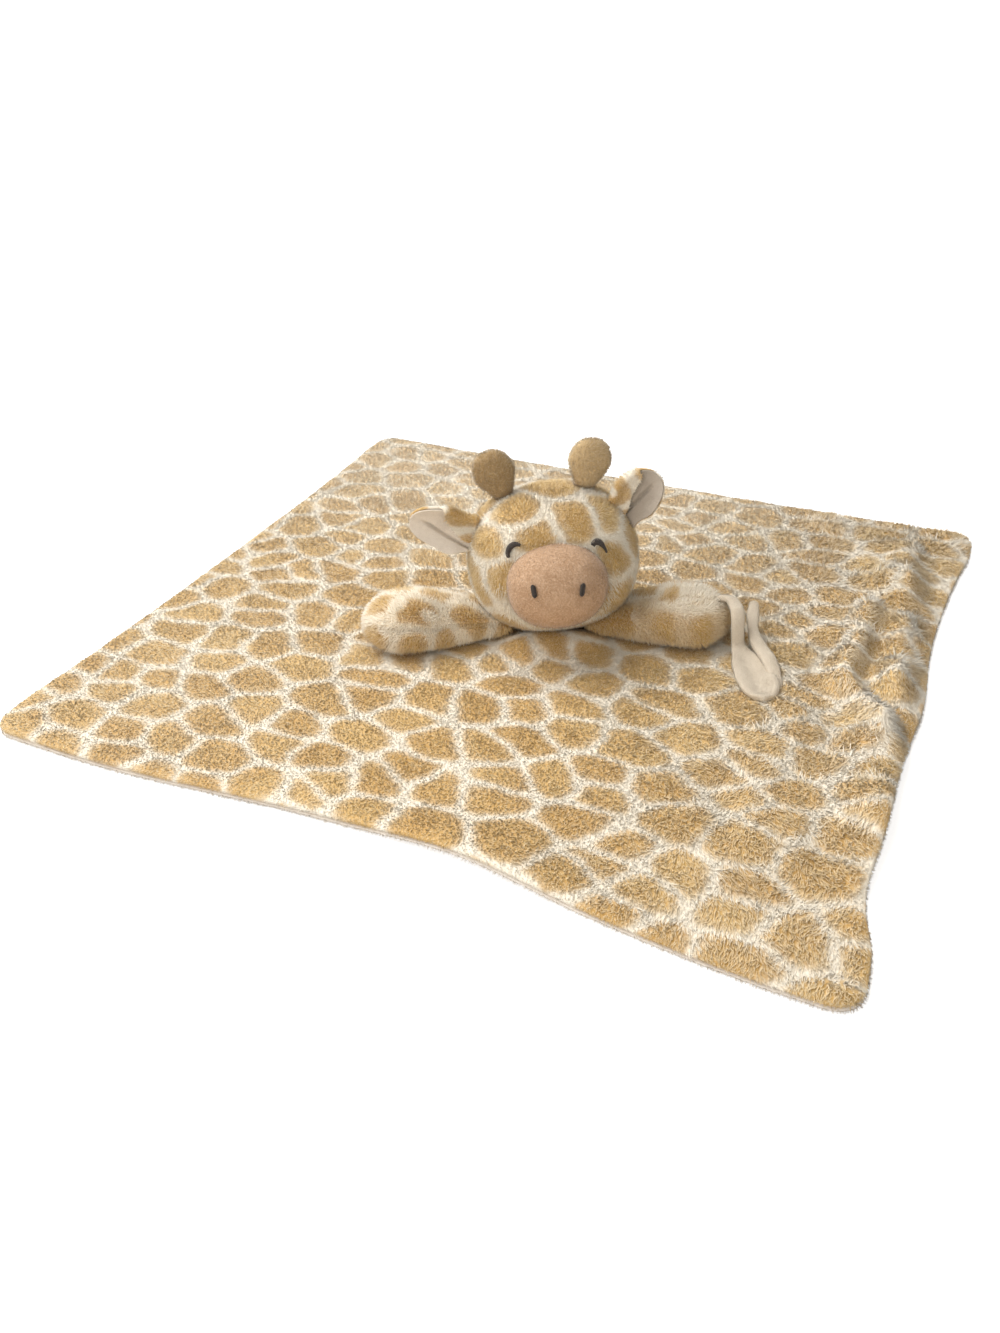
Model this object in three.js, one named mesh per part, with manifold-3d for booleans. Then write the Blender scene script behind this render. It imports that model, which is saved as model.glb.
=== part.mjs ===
// Comfort blanket lovey: a two-ply plush blanket with a giraffe's head and arms sewn to its middle.
// Millimetres, +Z up. X runs along the blanket's width, and the giraffe's own left is on the +X side.
// The origin is on the resting surface, under the middle of the blanket.
import * as THREE from "three";
import { mergeVertices } from "three/addons/utils/BufferGeometryUtils.js";
import Module from "manifold-3d";

const wasm = await Module();
wasm.setup();

const degrees = THREE.MathUtils.degToRad;

// Gap between touching pieces
const SEAM_GAP = 0.3;

// Blanket
const BLANKET_WIDTH = 400;
const BLANKET_DEPTH = 372;
const BACKING_THICKNESS = 2.2;
const TOP_THICKNESS = 3.2;
const EDGE_THICKNESS = 0.9;
const EDGE_ROUND = 6;
const CORNER_RADIUS = 12;
const FLAT_CUT = 0.5;
const FRONT_DRAW_IN = 12.5;
const FRONT_DRAW_CENTRE = 10;
const FRONT_DRAW_REACH = 170;
const RIGHT_DRAW_IN = 8;
const LEFT_DRAW_IN = 4;
const FAR_DRAW_IN = 3;
const DRAWN_SHARE = 0.84;
const FOLD_HEIGHT = 9;
const FOLD_INNER_WIDTH = 15;
const FOLD_OUTER_WIDTH = 10;
const FOLD_MIDDLE_X = 181.5;
const FOLD_SLOPE_SHARE = -0.098;
const FOLD_FAR_Y = 128;
const FOLD_NEAR_Y = -95;
const FOLD_FADE = 42;
const WRINKLE_PITCH = 47;
const WRINKLE_SHARE = 0.28;
const LIFT_HEIGHT = 4.5;
const LIFT_CENTRE_X = 42;
const LIFT_LENGTH = 38;
const LIFT_DEPTH = 20;
const BACKING_TOP_Z = BACKING_THICKNESS;
const TOP_BASE_Z = BACKING_TOP_Z + SEAM_GAP;
const BLANKET_TOP_Z = TOP_BASE_Z + TOP_THICKNESS;

// Where the giraffe sits on the blanket, and how far it turns
const GIRAFFE_X = 8;
const GIRAFFE_Y = 0.4;
const GIRAFFE_TURN = degrees(25);

// Head
const HEAD_HALF_WIDTH = 43.8;
const HEAD_HALF_DEPTH = 37;
const HEAD_HALF_HEIGHT = 36;
const HEAD_POWER = 2.4;
const HEAD_CLEAR = 3;
const HEAD_CENTRE_Z = BLANKET_TOP_Z + HEAD_CLEAR + HEAD_HALF_HEIGHT;
const HEAD_ROLL = degrees(4.5);
const HEAD_YAW = degrees(2.5);
const HEAD_WALL = 2.5;
const HEAD_TURN_RANGE = degrees(20);
const NECK_RADIUS = 13.5;
const NECK_BORE_RADIUS = 8;
const NECK_HEIGHT = 3.4;

// Muzzle
const MUZZLE_HALF_WIDTH = 25.4;
const MUZZLE_HALF_HEIGHT = 20.5;
const MUZZLE_HALF_DEPTH = 21;
const MUZZLE_POWER = 2.15;
const MUZZLE_REACH = 33;
const MUZZLE_TILT = degrees(6);
const MUZZLE_WALL = 1.6;

// Stitched eyes and nostrils
const STITCH_HALF_WIDTH = 1.15;
const STITCH_HALF_HEIGHT = 0.6;
const EYE_X = 20.5;
const EYE_PAIR_SHIFT = 1.6;
const EYE_Z = 18.6;
const RIGHT_EYE_RAISE = 2.5;
const EYE_WIDTH = 8;
const EYE_HEIGHT = 8.5;
const NOSTRIL_X = 11.4;
const NOSTRIL_Z = 4.5;
const NOSTRIL_LENGTH = 6;
const NOSTRIL_LEAN = degrees(15);

// Horns
const HORN_HEIGHT = 24;
const HORN_HALF_WIDTH = 11;
const HORN_HALF_THICKNESS = 6;
const HORN_BASE_HALF_WIDTH = 7;
const HORN_X = 20;
const HORN_PAIR_SHIFT = -1;
const HORN_Y = 8;
const HORN_LEAN = degrees(17);
const HORN_WALL = 1.6;
const HORN_MOUTH_RADIUS = 2.3;

// Ears
const EAR_LENGTH = 27.4;
const EAR_HALF_WIDTH = 12.2;
const EAR_BASE_HALF_WIDTH = 9;
const EAR_BACK_THICKNESS = 2.2;
const EAR_LINING_THICKNESS = 1.3;
const EAR_CUP_RADIUS = 15;
const EAR_SEAT_GAP = 0.4;
const EAR_ROOT = 5;
const EAR_TIP_SHARE = 0.985;
const EAR_SWING_RANGE = degrees(20);
const EAR_SEAT_Y = -3;
const LEFT_EAR_SEAT_Z = 21;
const RIGHT_EAR_SEAT_Z = 16.5;
const LEFT_EAR_RISE = degrees(48);
const RIGHT_EAR_RISE = degrees(11);
const EAR_FORWARD = degrees(8);
const EAR_TWIST = degrees(-15);

// Arms
const ARM_LENGTH = 68.5;
const ARM_ROOT_X = 26;
const ARM_PAIR_SHIFT = -2;
const ARM_PIVOT_INSET = 4;
const ARM_ROOT_Y = -8.5;
const ARM_ROOT_HALF_WIDTH = 11.5;
const ARM_WRIST_HALF_WIDTH = 16.5;
const PAW_HALF_WIDTH = 20.5;
const ARM_ROOT_HEIGHT = 15;
const ARM_WRIST_HEIGHT = 19;
const PAW_HEIGHT = 24;
const ARM_POWER = 2.3;
const ARM_WALL = 2.2;
const ARM_MOUTH_RADIUS = 4;
const ARM_HEAD_CLEAR = 0.9;
const ARM_FORWARD = degrees(8);
const ARM_FOLD_TILT = degrees(25);
const ARM_FOLD_RANGE = degrees(40);

// Pacifier strap: how far it comes forward and spreads from the paw's tip, and how high it arches
const STRAP_HALF_THICKNESS = 2.1;
const STRAP_FOLD_HALF_WIDTH = 7.8;
const STRAP_REACH = 57;
const STRAP_SPREAD = 15;
const STRAP_ARCH_RISE = 20;
const STRAP_LIFT_RANGE = degrees(75);
const STRAP_OPEN_RANGE = degrees(140);

// Counts of faces round and along each form
const HEAD_ROUND = 28;
const HEAD_RINGS = 16;
const HORN_ROUND = 14;
const MUZZLE_ROUND = 22;
const MUZZLE_RINGS = 13;
const ARM_ROUND = 16;
const STRIP_SIDES = 8;
const OPENING_SIDES = 24;
const MOUTH_SIDES = 12;
const EAR_ROWS = 7;
const EAR_COLUMNS = 6;

// Colours
const TAN_PLUSH = 0xc8a569;
const CREAM_PLUSH = 0xe6ded4;
const BROWN_PLUSH = 0xa08255;
const PEACH_VELOUR = 0xcda587;
const BEIGE_VELOUR = 0xd7c8b9;
const STRAP_VELOUR = 0xe1d5c3;
const BLACK_THREAD = 0x26262a;
const WHITE_FIBRE = 0xf4f1ec;

function cloth(color, roughness) {
  return new THREE.MeshStandardMaterial({ color, roughness, metalness: 0 });
}

function named(name, geometry, material) {
  const mesh = new THREE.Mesh(geometry, material);
  mesh.name = name;
  return mesh;
}

// A geometry from a list of points and a list of triangles
function faceted(points, triangles) {
  const geometry = new THREE.BufferGeometry();
  const numbers = points.flatMap((p) => [p.x, p.y, p.z]);
  geometry.setAttribute("position", new THREE.Float32BufferAttribute(numbers, 3));
  geometry.setIndex(triangles);
  return geometry;
}

// Rings of points between a first and a last pole, joined into one closed skin
function skinOfRings(firstPole, rings, lastPole) {
  const round = rings[0].length;
  const points = [firstPole, ...rings.flat(), lastPole];
  const at = (ring, k) => 1 + ring * round + (k % round);
  const last = points.length - 1;
  const triangles = [];
  for (let k = 0; k < round; k++) {
    triangles.push(0, at(0, k + 1), at(0, k));
    triangles.push(last, at(rings.length - 1, k), at(rings.length - 1, k + 1));
    for (let ring = 0; ring + 1 < rings.length; ring++) {
      triangles.push(at(ring, k), at(ring, k + 1), at(ring + 1, k + 1));
      triangles.push(at(ring, k), at(ring + 1, k + 1), at(ring + 1, k));
    }
  }
  return faceted(points, triangles);
}

// How far the surface |x/a|^n + |y/b|^n + |z/c|^n = 1 lies from its centre in one direction
function reachOf(half, power, direction) {
  const sum =
    Math.abs(direction.x / half.x) ** power +
    Math.abs(direction.y / half.y) ** power +
    Math.abs(direction.z / half.z) ** power;
  return sum ** (-1 / power);
}

// A rounded body with that surface, from rings of directions between its lowest and highest point
function roundedBody(half, power, round, ringCount) {
  const point = (direction) => direction.clone().multiplyScalar(reachOf(half, power, direction));
  const rings = [];
  for (let ring = 1; ring < ringCount; ring++) {
    const polar = (Math.PI * ring) / ringCount;
    const around = [];
    for (let k = 0; k < round; k++) {
      const turn = (2 * Math.PI * k) / round;
      const flat = Math.sin(polar);
      around.push(point(new THREE.Vector3(flat * Math.cos(turn), flat * Math.sin(turn), -Math.cos(polar))));
    }
    rings.push(around);
  }
  return skinOfRings(point(new THREE.Vector3(0, 0, -1)), rings, point(new THREE.Vector3(0, 0, 1)));
}

// A strip with an oval section, along points that each have a half width, a half thickness and a side to face
function strip(stations, sides) {
  const rings = stations.map((station, i) => {
    const before = stations[Math.max(i - 1, 0)].at;
    const after = stations[Math.min(i + 1, stations.length - 1)].at;
    const along = after.clone().sub(before).normalize();
    const across = station.side.clone().addScaledVector(along, -station.side.dot(along)).normalize();
    const up = new THREE.Vector3().crossVectors(across, along);
    const ring = [];
    for (let k = 0; k < sides; k++) {
      const turn = (2 * Math.PI * k) / sides;
      const p = station.at.clone().addScaledVector(across, station.halfWidth * Math.cos(turn));
      ring.push(p.addScaledVector(up, -station.halfThickness * Math.sin(turn)));
    }
    return ring;
  });
  const tip = (from, to, station) => {
    const outward = to.clone().sub(from).normalize();
    return to.clone().addScaledVector(outward, station.halfThickness);
  };
  const first = tip(stations[1].at, stations[0].at, stations[0]);
  const n = stations.length;
  const last = tip(stations[n - 2].at, stations[n - 1].at, stations[n - 1]);
  return skinOfRings(first, rings, last);
}

// A closed sheet between a lower and an upper surface over the same grid
function sheet(rows, columns, lowerAt, upperAt) {
  const points = [];
  for (let i = 0; i <= rows; i++) {
    for (let j = 0; j <= columns; j++) points.push(lowerAt(i, j), upperAt(i, j));
  }
  const lower = (i, j) => 2 * (i * (columns + 1) + j);
  const upper = (i, j) => lower(i, j) + 1;
  const triangles = [];
  const four = (a, b, c, d) => triangles.push(a, b, c, a, c, d);
  for (let i = 0; i < rows; i++) {
    for (let j = 0; j < columns; j++) {
      four(upper(i, j), upper(i, j + 1), upper(i + 1, j + 1), upper(i + 1, j));
      four(lower(i, j), lower(i + 1, j), lower(i + 1, j + 1), lower(i, j + 1));
    }
  }
  for (let j = 0; j < columns; j++) {
    four(lower(0, j), lower(0, j + 1), upper(0, j + 1), upper(0, j));
    four(lower(rows, j + 1), lower(rows, j), upper(rows, j), upper(rows, j + 1));
  }
  for (let i = 0; i < rows; i++) {
    four(lower(i + 1, 0), lower(i, 0), upper(i, 0), upper(i + 1, 0));
    four(lower(i, columns), lower(i + 1, columns), upper(i + 1, columns), upper(i, columns));
  }
  return faceted(points, triangles);
}

// Booleans on closed geometries
function solidOf(geometry, matrix = new THREE.Matrix4()) {
  const bare = geometry.clone().applyMatrix4(matrix);
  bare.deleteAttribute("normal");
  bare.deleteAttribute("uv");
  const merged = mergeVertices(bare, 1e-5);
  return new wasm.Manifold(
    new wasm.Mesh({
      numProp: 3,
      vertProperties: new Float32Array(merged.attributes.position.array),
      triVerts: new Uint32Array(merged.index.array),
    }),
  );
}

function geometryOf(solid) {
  const mesh = solid.getMesh();
  const geometry = new THREE.BufferGeometry();
  geometry.setAttribute("position", new THREE.Float32BufferAttribute(mesh.vertProperties, 3));
  geometry.setIndex(new THREE.Uint32BufferAttribute(mesh.triVerts, 1));
  return geometry;
}

// Blanket outline: a point of the unit square from -1 to 1 goes to its place on the cloth
function blanketPoint(across, along) {
  const halfWidth = BLANKET_WIDTH / 2;
  const halfDepth = BLANKET_DEPTH / 2;
  const drawn = (share) => Math.max(0, 1 - Math.abs(share / DRAWN_SHARE) ** 3);
  const side = across > 0 ? RIGHT_DRAW_IN : LEFT_DRAW_IN;
  let x = across * (halfWidth - side * drawn(along) * Math.abs(across));
  const fromCentre = (across * halfWidth - FRONT_DRAW_CENTRE) / FRONT_DRAW_REACH;
  const wave = Math.abs(fromCentre) < 1 ? Math.cos((Math.PI / 2) * fromCentre) ** 2 : 0;
  const end = along < 0 ? FRONT_DRAW_IN * wave : FAR_DRAW_IN * drawn(across);
  let y = along * (halfDepth - end * Math.abs(along));
  const cornerX = Math.abs(across) * halfWidth - (halfWidth - CORNER_RADIUS);
  const cornerY = Math.abs(along) * halfDepth - (halfDepth - CORNER_RADIUS);
  if (cornerX > 0 && cornerY > 0) {
    const pull = Math.max(cornerX, cornerY) / Math.hypot(cornerX, cornerY) - 1;
    x += Math.sign(across) * cornerX * pull;
    y += Math.sign(along) * cornerY * pull;
  }
  return new THREE.Vector2(x, y);
}

function bump(distance, width) {
  return Math.exp(-((distance / width) ** 2));
}

function ramp(value) {
  const t = THREE.MathUtils.clamp(value, 0, 1);
  return t * t * (3 - 2 * t);
}

// How high the cloth stands off its surface: one long fold on the right, one lifted stretch in front
function clothLift(x, y) {
  const crest = FOLD_MIDDLE_X + FOLD_SLOPE_SHARE * y;
  const width = x < crest ? FOLD_INNER_WIDTH : FOLD_OUTER_WIDTH;
  const farFade = ramp((FOLD_FAR_Y + FOLD_FADE - y) / FOLD_FADE);
  const nearFade = ramp((y - FOLD_NEAR_Y + FOLD_FADE) / FOLD_FADE);
  const wrinkle = 1 + WRINKLE_SHARE * Math.sin((2 * Math.PI * y) / WRINKLE_PITCH);
  const fold = FOLD_HEIGHT * bump(x - crest, width) * farFade * nearFade * wrinkle;
  const fromFront = y + BLANKET_DEPTH / 2 - FRONT_DRAW_IN;
  const liftShare = bump(x - LIFT_CENTRE_X, LIFT_LENGTH) * bump(Math.max(fromFront, 0), LIFT_DEPTH);
  const lifted = LIFT_HEIGHT * liftShare;
  return Math.max(0, fold + lifted - FLAT_CUT);
}

// Grid lines across the cloth, close together at its edges and over the fold
const MIDDLE_LINES_SHARES = [
  -0.95, -0.8, -0.62, -0.44, -0.26, -0.08, 0.1, 0.27, 0.43, 0.57, 0.68, 0.77, 0.845, 0.905, 0.95,
];
const LONG_LINES_SHARES = [
  -0.94, -0.84, -0.72, -0.59, -0.46, -0.33, -0.2, -0.07, 0.06, 0.19, 0.32, 0.45, 0.58, 0.71, 0.85, 0.95,
];

const EDGE_LINE_SHARE = 1 / 3;

function withEdges(shares, half) {
  const edge = 1 - (EDGE_LINE_SHARE * EDGE_ROUND) / half;
  return [-1, -edge, ...shares, edge, 1];
}

function blanketPly(baseZ, thickness) {
  const acrossLines = withEdges(MIDDLE_LINES_SHARES, BLANKET_WIDTH / 2);
  const alongLines = withEdges(LONG_LINES_SHARES, BLANKET_DEPTH / 2);
  const place = (i, j) => blanketPoint(acrossLines[j], alongLines[i]);
  const lowerAt = (i, j) => {
    const p = place(i, j);
    return new THREE.Vector3(p.x, p.y, baseZ + clothLift(p.x, p.y));
  };
  const upperAt = (i, j) => {
    const p = lowerAt(i, j);
    const inward = Math.min(
      (1 - Math.abs(acrossLines[j])) * (BLANKET_WIDTH / 2),
      (1 - Math.abs(alongLines[i])) * (BLANKET_DEPTH / 2),
    );
    const edgeShare = Math.min(1, inward / EDGE_ROUND);
    p.z += EDGE_THICKNESS + (thickness - EDGE_THICKNESS) * Math.sqrt(edgeShare * (2 - edgeShare));
    return p;
  };
  return sheet(alongLines.length - 1, acrossLines.length - 1, lowerAt, upperAt);
}

function makeBlanket() {
  const blanket = new THREE.Group();
  // The backing's upper face is level up to its edge, so that the top panel rests on it
  const backing = blanketPly(0, BACKING_THICKNESS);
  const top = blanketPly(TOP_BASE_Z, TOP_THICKNESS);
  blanket.add(named("blanket_backing_panel", backing, cloth(CREAM_PLUSH, 0.95)));
  blanket.add(named("blanket_top_panel", top, cloth(TAN_PLUSH, 0.95)));
  return blanket;
}

// Head: half sizes of its surface, taken in or let out by an offset
function headHalf(offset) {
  return new THREE.Vector3(HEAD_HALF_WIDTH, HEAD_HALF_DEPTH, HEAD_HALF_HEIGHT).addScalar(offset);
}

function headBody(offset, round = HEAD_ROUND, rings = HEAD_RINGS) {
  return roundedBody(headHalf(offset), HEAD_POWER, round, rings);
}

const HEAD_PLACE = new THREE.Matrix4().compose(
  new THREE.Vector3(0, 0, HEAD_CENTRE_Z),
  new THREE.Quaternion().setFromEuler(new THREE.Euler(0, -HEAD_ROLL, HEAD_YAW, "ZYX")),
  new THREE.Vector3(1, 1, 1),
);

// A direction from the head's centre to a point of its front, where x and z are given
function headFront(x, z, offset) {
  const half = headHalf(offset);
  const left = 1 - Math.abs(x / half.x) ** HEAD_POWER - Math.abs(z / half.z) ** HEAD_POWER;
  return new THREE.Vector3(x, -half.y * Math.max(left, 0) ** (1 / HEAD_POWER), z);
}

// The same for its top, where x and y are given
function headTop(x, y, offset) {
  const half = headHalf(offset);
  const left = 1 - Math.abs(x / half.x) ** HEAD_POWER - Math.abs(y / half.y) ** HEAD_POWER;
  return new THREE.Vector3(x, y, half.z * Math.max(left, 0) ** (1 / HEAD_POWER));
}

// The same for its side, where y and z are given
function headSide(sideSign, y, z, offset) {
  const half = headHalf(offset);
  const left = 1 - Math.abs(y / half.y) ** HEAD_POWER - Math.abs(z / half.z) ** HEAD_POWER;
  return new THREE.Vector3(sideSign * half.x * Math.max(left, 0) ** (1 / HEAD_POWER), y, z);
}

function makeHeadCover() {
  const outer = solidOf(headBody(0));
  const inner = solidOf(headBody(-HEAD_WALL));
  // The neck opening stands upright over the blanket, whichever way the head leans
  const depth = 2 * (HEAD_CLEAR + HEAD_WALL);
  const radius = NECK_RADIUS + SEAM_GAP;
  const opening = new THREE.CylinderGeometry(radius, radius, depth, OPENING_SIDES);
  const upright = new THREE.Matrix4()
    .copy(HEAD_PLACE)
    .invert()
    .multiply(new THREE.Matrix4().makeTranslation(0, 0, BLANKET_TOP_Z + depth / 2))
    .multiply(new THREE.Matrix4().makeRotationX(Math.PI / 2));
  const cover = outer.subtract(inner).subtract(solidOf(opening, upright));
  return named("head_cover", geometryOf(cover), cloth(TAN_PLUSH, 0.9));
}

function makeHeadStuffing() {
  const filling = headBody(-HEAD_WALL - SEAM_GAP, HEAD_ROUND / 2, HEAD_RINGS / 2);
  return named("head_stuffing", filling, cloth(WHITE_FIBRE, 1));
}

// Muzzle: an egg that leans up a little, let into the head's front
const MUZZLE_PLACE = new THREE.Matrix4()
  .makeRotationX(-MUZZLE_TILT)
  .multiply(new THREE.Matrix4().makeTranslation(0, -MUZZLE_REACH, 0));

function muzzleHalf(offset) {
  const half = new THREE.Vector3(MUZZLE_HALF_WIDTH, MUZZLE_HALF_DEPTH, MUZZLE_HALF_HEIGHT);
  return half.addScalar(offset);
}

function muzzleBody(offset) {
  const body = roundedBody(muzzleHalf(offset), MUZZLE_POWER, MUZZLE_ROUND, MUZZLE_RINGS);
  return solidOf(body, MUZZLE_PLACE);
}

function makeMuzzle() {
  const behind = solidOf(headBody(SEAM_GAP));
  const cover = muzzleBody(0).subtract(muzzleBody(-MUZZLE_WALL)).subtract(behind);
  const filling = muzzleBody(-MUZZLE_WALL - SEAM_GAP).subtract(behind);
  return [
    named("muzzle_cover", geometryOf(cover), cloth(PEACH_VELOUR, 0.85)),
    named("muzzle_stuffing", geometryOf(filling), cloth(WHITE_FIBRE, 1)),
  ];
}

// An eye: a stitched arch, with a short inner end and a long outer foot. Its points are shares of its size.
const EYE_ARCH_SHARES = [
  [-0.42, 0.28, 0.45],
  [-0.3, 0.44, 0.85],
  [-0.05, 0.5, 1],
  [0.22, 0.38, 1.05],
  [0.4, 0.1, 1],
  [0.48, -0.22, 0.8],
  [0.5, -0.5, 0.4],
];

function makeEye(side, sideSign) {
  const raise = sideSign < 0 ? RIGHT_EYE_RAISE : 0;
  const stations = EYE_ARCH_SHARES.map(([outward, up, widthShare]) => {
    const x = sideSign * (EYE_X + outward * EYE_WIDTH) + EYE_PAIR_SHIFT;
    const z = EYE_Z + raise + up * EYE_HEIGHT;
    const at = headFront(x, z, SEAM_GAP + STITCH_HALF_HEIGHT);
    return { at, x, z, widthShare };
  });
  const shaped = stations.map((station, i) => {
    const before = stations[Math.max(i - 1, 0)].at;
    const after = stations[Math.min(i + 1, stations.length - 1)].at;
    const along = after.clone().sub(before).normalize();
    const side = new THREE.Vector3().crossVectors(along, station.at.clone().normalize());
    const halfWidth = STITCH_HALF_WIDTH * station.widthShare;
    return { at: station.at, side, halfWidth, halfThickness: STITCH_HALF_HEIGHT };
  });
  return named(side + "_eye_stitching", strip(shaped, STRIP_SIDES), cloth(BLACK_THREAD, 0.55));
}

// A nostril: a short stitched bar on the muzzle, leaning in at its foot
function makeNostril(side, sideSign) {
  const half = muzzleHalf(SEAM_GAP + STITCH_HALF_HEIGHT);
  const stations = [-0.5, -0.25, 0, 0.25, 0.5].map((share) => {
    const z = NOSTRIL_Z + share * NOSTRIL_LENGTH * Math.cos(NOSTRIL_LEAN);
    const x = sideSign * (NOSTRIL_X + share * NOSTRIL_LENGTH * Math.sin(NOSTRIL_LEAN));
    const left = 1 - Math.abs(x / half.x) ** MUZZLE_POWER - Math.abs(z / half.z) ** MUZZLE_POWER;
    const at = new THREE.Vector3(x, -half.y * left ** (1 / MUZZLE_POWER), z).applyMatrix4(MUZZLE_PLACE);
    const side = new THREE.Vector3(1, 0, 0);
    return { at, side, halfWidth: STITCH_HALF_WIDTH, halfThickness: STITCH_HALF_HEIGHT };
  });
  return named(side + "_nostril_stitching", strip(stations, STRIP_SIDES), cloth(BLACK_THREAD, 0.55));
}

// A horn: a flat paddle, narrow at its sewn foot and round at its top
const HORN_FULL_SHARE = 0.55;
const HORN_PROFILE_SHARES = [
  [0.05, 0.62, 0.6],
  [0.16, 0.84, 0.92],
  [0.4, 1, 1],
  [0.6, 1, 1],
  [0.78, 0.86, 0.88],
  [0.92, 0.55, 0.62],
];

function hornBody(offset) {
  const rings = HORN_PROFILE_SHARES.map(([heightShare, widthShare, thicknessShare]) => {
    const foot = HORN_BASE_HALF_WIDTH / HORN_HALF_WIDTH;
    const narrow = THREE.MathUtils.lerp(foot, 1, ramp(heightShare / HORN_FULL_SHARE));
    const halfWidth = HORN_HALF_WIDTH * widthShare * narrow + offset;
    const halfThickness = HORN_HALF_THICKNESS * thicknessShare + offset;
    const z = -HORN_HALF_THICKNESS - offset + (HORN_HEIGHT + 2 * offset) * heightShare;
    return Array.from({ length: HORN_ROUND }, (_, k) => {
      const turn = (2 * Math.PI * k) / HORN_ROUND;
      return new THREE.Vector3(halfWidth * Math.cos(turn), halfThickness * Math.sin(turn), z);
    });
  });
  const low = new THREE.Vector3(0, 0, -HORN_HALF_THICKNESS - offset);
  const high = new THREE.Vector3(0, 0, HORN_HEIGHT - HORN_HALF_THICKNESS + offset);
  return skinOfRings(low, rings, high);
}

// A hole cut upwards through a cover, where its filling went in
function mouth(radius, x, lowest, height) {
  return solidOf(
    new THREE.CylinderGeometry(radius, radius, height, MOUTH_SIDES),
    new THREE.Matrix4()
      .makeTranslation(x, 0, lowest + height / 2)
      .multiply(new THREE.Matrix4().makeRotationX(Math.PI / 2)),
  );
}

function makeHorn(side, sideSign) {
  const horn = new THREE.Group();
  const seat = headTop(sideSign * HORN_X + HORN_PAIR_SHIFT, HORN_Y, SEAM_GAP);
  const lean = new THREE.Vector3(Math.sin(sideSign * HORN_LEAN), 0, Math.cos(HORN_LEAN));
  horn.position.copy(seat).addScaledVector(lean, HORN_HALF_THICKNESS);
  horn.rotation.y = sideSign * HORN_LEAN;
  const foot = -HORN_HALF_THICKNESS - SEAM_GAP;
  const opening = mouth(HORN_MOUTH_RADIUS, 0, foot, HORN_HALF_THICKNESS);
  const cover = solidOf(hornBody(0)).subtract(solidOf(hornBody(-HORN_WALL))).subtract(opening);
  horn.add(named(side + "_horn_cover", geometryOf(cover), cloth(BROWN_PLUSH, 0.9)));
  horn.add(named(side + "_horn_stuffing", hornBody(-HORN_WALL - SEAM_GAP), cloth(WHITE_FIBRE, 1)));
  return horn;
}

// An ear: a leaf bent round its long axis, with a printed back and a velour lining in its hollow.
// Its length runs outwards along X from the sewn base, and its hollow opens towards -Y.
const EAR_WIDEST_SHARE = 0.42;

function earWidth(share) {
  const leaf = Math.sqrt(Math.max(0, 1 - ((share - EAR_WIDEST_SHARE) / (1 - EAR_WIDEST_SHARE)) ** 2));
  const base = THREE.MathUtils.lerp(EAR_BASE_HALF_WIDTH / EAR_HALF_WIDTH, 1, ramp(share / EAR_WIDEST_SHARE));
  return EAR_HALF_WIDTH * (share < EAR_WIDEST_SHARE ? base : leaf);
}

function earPly(sideSign, innerRadius, outerRadius) {
  const firstShare = -EAR_ROOT / EAR_LENGTH;
  const place = (radius) => (i, j) => {
    const share = THREE.MathUtils.lerp(firstShare, EAR_TIP_SHARE, i / EAR_ROWS);
    const across = (2 * j) / EAR_COLUMNS - 1;
    const turn = (across * earWidth(share)) / EAR_CUP_RADIUS;
    const out = sideSign * share * EAR_LENGTH;
    const back = radius * Math.cos(turn) - EAR_CUP_RADIUS;
    return new THREE.Vector3(out, back, sideSign * radius * Math.sin(turn));
  };
  return sheet(EAR_ROWS, EAR_COLUMNS, place(innerRadius), place(outerRadius));
}

function earPlace(sideSign) {
  const seatZ = sideSign > 0 ? LEFT_EAR_SEAT_Z : RIGHT_EAR_SEAT_Z;
  const rise = sideSign > 0 ? LEFT_EAR_RISE : RIGHT_EAR_RISE;
  const seat = headSide(sideSign, EAR_SEAT_Y, seatZ, EAR_SEAT_GAP);
  return new THREE.Matrix4()
    .makeTranslation(seat.x, seat.y, seat.z)
    .multiply(new THREE.Matrix4().makeRotationZ(-sideSign * EAR_FORWARD))
    .multiply(new THREE.Matrix4().makeRotationY(-sideSign * rise))
    .multiply(new THREE.Matrix4().makeRotationX(EAR_TWIST));
}

// An ear's ply, cut to the head's surface so that it clears it while it bends over its base
function seatedPly(sideSign, innerRadius, outerRadius) {
  let ply = solidOf(earPly(sideSign, innerRadius, outerRadius));
  const head = headBody(EAR_SEAT_GAP);
  for (const share of [-1, 0, 1]) {
    const swing = new THREE.Matrix4().makeRotationZ(share * EAR_SWING_RANGE);
    ply = ply.subtract(solidOf(head, swing.multiply(earPlace(sideSign).invert())));
  }
  return geometryOf(ply);
}

function makeEar(side, sideSign) {
  const ear = new THREE.Group();
  earPlace(sideSign).decompose(ear.position, ear.quaternion, ear.scale);
  const joint = EAR_CUP_RADIUS - SEAM_GAP / 2;
  const lining = seatedPly(sideSign, joint - EAR_LINING_THICKNESS, joint);
  const back = seatedPly(sideSign, joint + SEAM_GAP, joint + SEAM_GAP + EAR_BACK_THICKNESS);
  ear.add(named(side + "_ear_lining", lining, cloth(BEIGE_VELOUR, 0.85)));
  ear.add(named(side + "_ear_back", back, cloth(TAN_PLUSH, 0.9)));
  return ear;
}

// An arm: a stuffed tube that swells into a paw. Its length runs along X, and it lies on the blanket.
// A row is a place along it, its shares of the sizes at root, wrist and paw, and its fullness.
const ARM_SECTION_SHARES = [
  [0, 1, 0, 0, 1],
  [0.14, 0.6, 0.4, 0, 1],
  [0.27, 0.05, 0.95, 0, 1],
  [0.42, 0, 0.6, 0.4, 1],
  [0.56, 0, 0.12, 0.88, 1],
  [0.68, 0, 0, 1, 1],
  [0.78, 0, 0, 1, 0.96],
  [0.87, 0, 0, 1, 0.83],
  [0.94, 0, 0, 1, 0.62],
  [0.985, 0, 0, 1, 0.33],
];

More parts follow.
